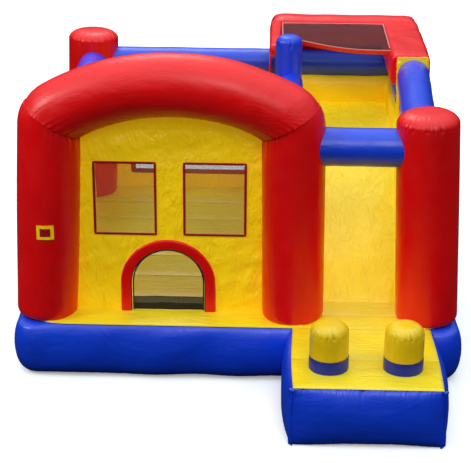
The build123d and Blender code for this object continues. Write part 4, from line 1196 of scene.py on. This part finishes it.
def sweep(name, path, facing, width, thick, material, seed, power=0.7, closed=False, body=HOUSE):
    """A band along a path: a softened oval section, its width in the plane across facing."""
    path = np.array(path, float)
    if closed:
        way = np.roll(path, -1, 0) - np.roll(path, 1, 0)
    else:
        way = np.gradient(path, axis=0)
    way /= np.linalg.norm(way, axis=1, keepdims=True)
    face = np.broadcast_to(np.array(facing, float), path.shape)
    across = np.cross(way, face)
    across /= np.linalg.norm(across, axis=1, keepdims=True)
    over = np.cross(across, way)
    turn = TAU * np.arange(16) / 16
    wide = np.sign(np.cos(turn)) * np.abs(np.cos(turn)) ** power * width / 2
    deep = np.sign(np.sin(turn)) * np.abs(np.sin(turn)) ** power * thick / 2
    points = (
        path[:, None] + wide[None, :, None] * across[:, None] + deep[None, :, None] * over[:, None]
    )
    along = np.arange(len(path)) / len(path)
    folds = creases(along, max(3, len(path) / 5), seed)[:, None] * np.abs(np.cos(turn))
    points = points + over[:, None] * (0.12 * thick * folds)[..., None]
    if closed:
        points = np.concatenate((points, points[:1]))
    vertices = points.reshape(-1, 3)
    faces = grid_faces(len(points), 16, True).tolist()
    if not closed:
        last = len(vertices)
        vertices = np.vstack((vertices, points[0].mean(axis=0), points[-1].mean(axis=0)))
        for k in range(16):
            faces.append((last, (k + 1) % 16, k))
            faces.append((last + 1, last - 16 + k, last - 16 + (k + 1) % 16))
    return piece(name, vertices, faces, material, body=body)


PATH_STEP = 0.02


def window_path(window, place, step=PATH_STEP):
    """The closed line round a window, in place."""
    low_first, high_first, low_second, high_second = window
    across = np.linspace(low_first, high_first, int((high_first - low_first) / step))
    up = np.linspace(low_second, high_second, int((high_second - low_second) / step))
    first = np.concatenate(
        (across[:-1], np.full(len(up) - 1, high_first), across[:0:-1], np.full(len(up) - 1, low_first))
    )
    second = np.concatenate(
        (np.full(len(across) - 1, low_second), up[:-1], np.full(len(across) - 1, high_second), up[:0:-1])
    )
    points, _ = place(first[None], second[None])
    return points[0]


trims = []
for number, (window, place, _, facing, out, width) in enumerate(OPENINGS):
    path = window_path(window, place) + np.array(out)
    trims.append(sweep(f"trim_{number}", path, facing, width, 0.008, maroon, 130 + number, 0.7, True))
replace(join("window_trim_bands", trims), "window_trims", "red_vinyl")


def door_path(radius, low, y):
    """A doorway's line, up one leg, over the arch and down the other."""
    leg = np.linspace(low, DOOR_SPRING, max(2, int((DOOR_SPRING - low) / PATH_STEP)))[:-1]
    turn = np.linspace(math.pi, 0, int(math.pi * radius / PATH_STEP))
    x = np.concatenate((np.full(len(leg), -radius), radius * np.cos(turn), np.full(len(leg), radius)))
    z = np.concatenate((leg, DOOR_SPRING + radius * np.sin(turn), leg[::-1]))
    return stack(DOOR_X + x, y, z)


band_y = WALL_Y - 0.012
door_parts = [
    sweep(name, door_path(radius, FLOOR_Z, y), (0, 1, 0), width, thick, material, seed, power)
    for name, radius, y, width, thick, material, seed, power in (
        ("band_pad", DOOR_RADIUS + DOOR_BAND / 2, band_y, DOOR_BAND, 0.036, red, 141, 0.62),
        ("band_inner", DOOR_RADIUS + 0.006, band_y - 0.006, 0.016, 0.016, navy, 142, 0.7),
        ("band_outer", DOOR_RADIUS + DOOR_BAND + 0.001, band_y + 0.008, 0.006, 0.008, pale, 143, 0.7),
    )
]
replace(join("door_arch_band_pad", door_parts), "door_arch_band")

FLAP_Y = WALL_Y + 0.0055
FLAP_RADIUS = DOOR_RADIUS - 0.007
FLAP_COLUMNS = 44


def flap_part(name, low, high, material, seed, y):
    """The part of the door flap between two heights, as wide as the doorway is there."""
    rows = max(3, int((high - low) / 0.012))
    rise = np.linspace(low, high, rows)
    half = np.sqrt(np.maximum(FLAP_RADIUS**2 - np.maximum(rise - DOOR_SPRING, 0) ** 2, 1e-5))
    share = np.linspace(-1, 1, FLAP_COLUMNS)
    x = DOOR_X + half[:, None] * share
    points = stack(x, y, rise[:, None])
    edge = np.clip((1 - np.abs(share)) / 0.1, 0, 1)[None, :]
    points[..., 1] += 0.004 * ripple(points, 0.25, seed) * edge
    faces = grid_faces(rows, FLAP_COLUMNS, False)
    return piece(name, points.reshape(-1, 3), faces, material, body="door_flap")


flap_low = FLOOR_Z + 0.012
flap_parts = [
    flap_part("flap_net", flap_low + 0.115, DOOR_SPRING + FLAP_RADIUS - 0.001, khaki, 151, FLAP_Y),
    flap_part("flap_grey", flap_low + 0.06, flap_low + 0.12, grey, 152, FLAP_Y - 0.001),
    flap_part("flap_black", flap_low, flap_low + 0.064, black, 153, FLAP_Y),
    sweep(
        "flap_binding", door_path(FLAP_RADIUS - 0.004, flap_low, FLAP_Y), (0, 1, 0), 0.012, 0.005,
        navy, 154, body="door_flap",
    ),
]
flap = join("door_flap_net", flap_parts)
stand_for(flap, "door_flap")

# ---- trims, patch and ground

HEM_Y = ROW_Y + 1.838
hem_points = np.linspace((0.47, HEM_Y, 2.305), (ARM_X[0] + 0.02, HEM_Y, 2.215), 40)
hem_points[:, 2] -= 0.03 * np.sin(np.linspace(0, math.pi, 40))
front_panel = pad(
    "arm_front", rectangle((1.352, ARM_X[1] - 0.012), (1.93, CANOPY_Z - 0.012)),
    (ARM_FRONT_Y - 0.006, ARM_FRONT_Y + 0.012), 1, yellow, 161, corner=0.03, edge=0.004, crown=0.003,
)
hems = [
    sweep("hem_front", hem_points, (0, 1, 0.6), 0.045, 0.008, red, 162, 0.5),
    sweep("hem_edge", hem_points + (0, -0.003, 0.022), (0, 1, 0), 0.009, 0.006, pale, 164),
    front_panel,
    sweep(
        "hem_strip",
        np.linspace((1.372, ARM_FRONT_Y - 0.008, 2.2), (1.376, ARM_FRONT_Y - 0.008, 1.68), 20),
        (0, 1, 0), 0.03, 0.008, yellow, 163, 0.5,
    ),
]
net_edge = window_path((0.34, ARM_X[0] + 0.002, ROW_Y + 1.85, TUBE_Y[0] + 0.002), on_canopy, 0.04)
sides = net_edge[net_edge[:, 1] > net_edge[:, 1].min() + 0.001]
hems.append(sweep("hem_net", sides + (0, 0, 0.012), (0, 0, 1), 0.011, 0.005, pale, 166))
replace(join("canopy_hem_bands", hems), "canopy_hems")
ENTRANCE_X = 0.226
entrance_path = (
    *[(ENTRANCE_X, 0.715, z) for z in np.linspace(0.75, 2.06, 50)],
    *[(ENTRANCE_X, y, 2.10) for y in np.linspace(0.755, 1.348, 24)],
    *[(ENTRANCE_X, 1.388, z) for z in np.linspace(2.06, 0.75, 50)],
)
entrance = sweep("entrance_band", entrance_path, (1, 0, 0), 0.08, 0.014, red, 165, 0.6)
replace(entrance, "entrance_frame")


PATCH_ROWS, PATCH_COLUMNS = 14, 16
GROUND_LINES = 60


def patch_part(name, x, z, lift, material):
    """A square of cloth that lies on the left column's front."""
    across, up = np.meshgrid(np.linspace(*x, PATCH_COLUMNS), np.linspace(*z, PATCH_ROWS))
    centre = between(LEFT_FOOT, LEFT_HEAD, up)
    reach = COLUMN_RADIUS * 1.01 + lift
    y = ROW_Y - np.sqrt(np.maximum(reach**2 - (across - centre) ** 2, 0))
    points = stack(across, y, up).reshape(-1, 3)
    return piece(name, points, grid_faces(PATCH_ROWS, PATCH_COLUMNS, False), material)


patch_parts = [
    patch_part("patch_rim", (-1.590, -1.453), (1.200, 1.320), 0.006, yellow),
    patch_part("patch_middle", (-1.564, -1.479), (1.226, 1.294), 0.008, maroon),
]
patch = join("column_patch_cloth", patch_parts)
stand_for(patch, "column_patch", "red_vinyl")

under = []
for name, x, y in (
    ("ground_base", (-1.70, 1.70), (FRONT_Y + 0.14, BACK_Y - 0.14)),
    ("ground_landing", (LANDING_X[0] + 0.12, LANDING_X[1] - 0.12), (LANDING_Y + 0.12, FRONT_Y + 0.13)),
):
    across, up = np.meshgrid(np.linspace(*x, GROUND_LINES), np.linspace(*y, GROUND_LINES))
    points = stack(across, up, 0.003)
    points[..., 2] += 0.0015 * ripple(points, 0.4, 175)
    faces = grid_faces(GROUND_LINES, GROUND_LINES, False)[:, ::-1]
    under.append(piece(name, points.reshape(-1, 3), faces, ground))
stretch_sheet(join("ground_sheet_cloth", under), "ground_sheets")

# ---- anchors, inlet and blower

tabs = []
for number, (start, end) in enumerate(
    (
        ((-1.935, 1.5), (-1.735, 1.5)), ((1.935, 1.5), (1.735, 1.5)),
        ((-1.4, 2.025), (-1.4, 1.82)), ((1.4, 2.025), (1.4, 1.82)),
    )
):
    path = np.linspace((*start, 0.0025), (*end, 0.0035), 24)
    tabs.append(sweep(f"tab_{number}", path, (0, 0, 1), 0.05, 0.003, webbing, 181 + number, 0.4))
tab = join("anchor_tab_webbing", tabs)
stand_for(tab, "anchor_tabs", "dark_web")

BLOWER_X = -0.9
NOZZLE_Z = 0.13
STRAP_Y = 2.2275
turn, unit = circle(72, *np.eye(3)[::2])
sleeve_y = np.linspace(BACK_Y - 0.1, 2.26, 40)
bell = 0.0735 + 0.004 * np.sin(math.pi * np.clip((sleeve_y - BACK_Y) / 0.2, 0, 1))
sleeve_points = stack(BLOWER_X, sleeve_y, NOZZLE_Z)[:, None] + bell[:, None, None] * unit
gather = near(sleeve_y - STRAP_Y, 0.03)[:, None]
sleeve_push = 0.004 * creases(turn, 22, 191) * gather - 0.0015 * gather
sleeve = skin("inlet_sleeve_skin", sleeve_points, blue_beam, True, -sleeve_push, capped=False)
replace(sleeve)
strap_ring = 0.0765 * unit
strap_path = np.array((BLOWER_X, STRAP_Y, NOZZLE_Z)) + strap_ring
strap_parts = [
    sweep("strap_band", strap_path, strap_ring, 0.025, 0.003, webbing, 192, 0.4, True),
    pad(
        "strap_buckle",
        rectangle((BLOWER_X - 0.02, BLOWER_X + 0.02), (NOZZLE_Z + 0.077, NOZZLE_Z + 0.086)),
        (2.213, 2.243), 1, webbing, 193, corner=0.004, edge=0.003, crown=0.0, step=0.003,
        wrinkle=0.0, pleat=1.0,
    ),
]
replace(join("sleeve_strap_webbing", strap_parts), "sleeve_strap", slot="dark_web")

for material, names in (
    (moulded("blower_casing", srgb(232, 150, 18), 0.45), "blower_left_shell blower_right_shell"),
    (
        moulded("blower_black", srgb(22, 22, 24)),
        "intake_grilles blower_stand blower_handle switch_box cord_gland blower_impeller"
        " zip_tape zip_slider zip_pull",
    ),
    (moulded("cast_metal", srgb(150, 152, 156), 0.35, 1.0), "blower_motor"),
    (moulded("grommet_brass", srgb(206, 164, 84), 0.3, 1.0, 120.0), "anchor_grommets"),
    (moulded("foot_rubber", srgb(20, 20, 20), 0.85), "blower_feet"),
    (moulded("switch_red", srgb(190, 20, 16), 0.25), "switch_rocker"),
    (moulded("screw_steel", srgb(176, 176, 178), 0.3, 1.0), "housing_screws"),
    (white, "air_baffles"),
):
    for name in names.split():
        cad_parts[name].data.materials.clear()
        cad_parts[name].data.materials.append(material)

# ---- floor, light

floor_mesh = bpy.data.meshes.new("floor")
floor_mesh.from_pydata([(-60, -60, 0), (60, -60, 0), (60, 60, 0), (-60, 60, 0)], [], [(0, 1, 2, 3)])
floor = bpy.data.objects.new("floor", floor_mesh)
bpy.context.scene.collection.objects.link(floor)
paint = Nodes(bpy.data.materials.new("floor"))
seen = paint.node("ShaderNodeLightPath").outputs["Is Camera Ray"]
paint.give("Base Color", paint.mix(seen, srgb(44, 44, 46), srgb(250, 250, 250)))
paint.give("Emission Color", (1, 1, 1, 1))
paint.give("Emission Strength", paint.ramp(seen, 0.0, 0.3, 0.0, 1.0))
paint.give("Roughness", 0.9)
paint.give("Specular IOR Level", 0.0)
floor_mesh.materials.append(paint.owner)

world = bpy.data.worlds.new("studio")
bpy.context.scene.world = world
sky = Nodes(world)
way = sky.node("ShaderNodeTexCoord").outputs["Generated"]
steep = sky.node("ShaderNodeMath", operation="POWER", use_clamp=True)
sky.feed(steep.inputs[0], sky.node("ShaderNodeSeparateXYZ", Vector=way).outputs["Z"])
sky.feed(steep.inputs[1], 1.7)
backdrop = sky.node("ShaderNodeMix")
sky.feed(backdrop.inputs[0], sky.node("ShaderNodeLightPath").outputs["Is Camera Ray"])
sky.feed(backdrop.inputs[2], sky.ramp(steep.outputs[0], 0.02, 1.9, 0.0, 1.0))
sky.feed(backdrop.inputs[3], 0.95)
background = sky.tree.nodes["Background"]
sky.feed(background.inputs["Strength"], backdrop.outputs[0])
sky.feed(background.inputs["Color"], (0.84, 0.93, 1.0, 1))


WARM_WHITE = (1.0, 0.98, 0.94)


def lamp(name, place, target, size, power):
    """A square soft light that faces its target."""
    data = bpy.data.lights.new(name, "AREA")
    data.size = size
    data.energy = power
    data.color = WARM_WHITE
    made = bpy.data.objects.new(name, data)
    bpy.context.scene.collection.objects.link(made)
    way = Vector(target) - Vector(place)
    made.matrix_world = Matrix.Translation(place) @ way.to_track_quat("-Z", "Y").to_matrix().to_4x4()


lamp("key", (-9.0, -4.8, 8.2), (0, 0, 0.8), 2.0, 350)
lamp("back", (-1.5, 6.5, 9.5), (0, 0, 1.0), 4.0, 190)
lamp("front", (1.6, -9.0, 8.5), (0.6, 0, 0.8), 3.0, 150)
bpy.context.scene.view_settings.view_transform = "Standard"
bpy.context.scene.view_settings.look = "None"
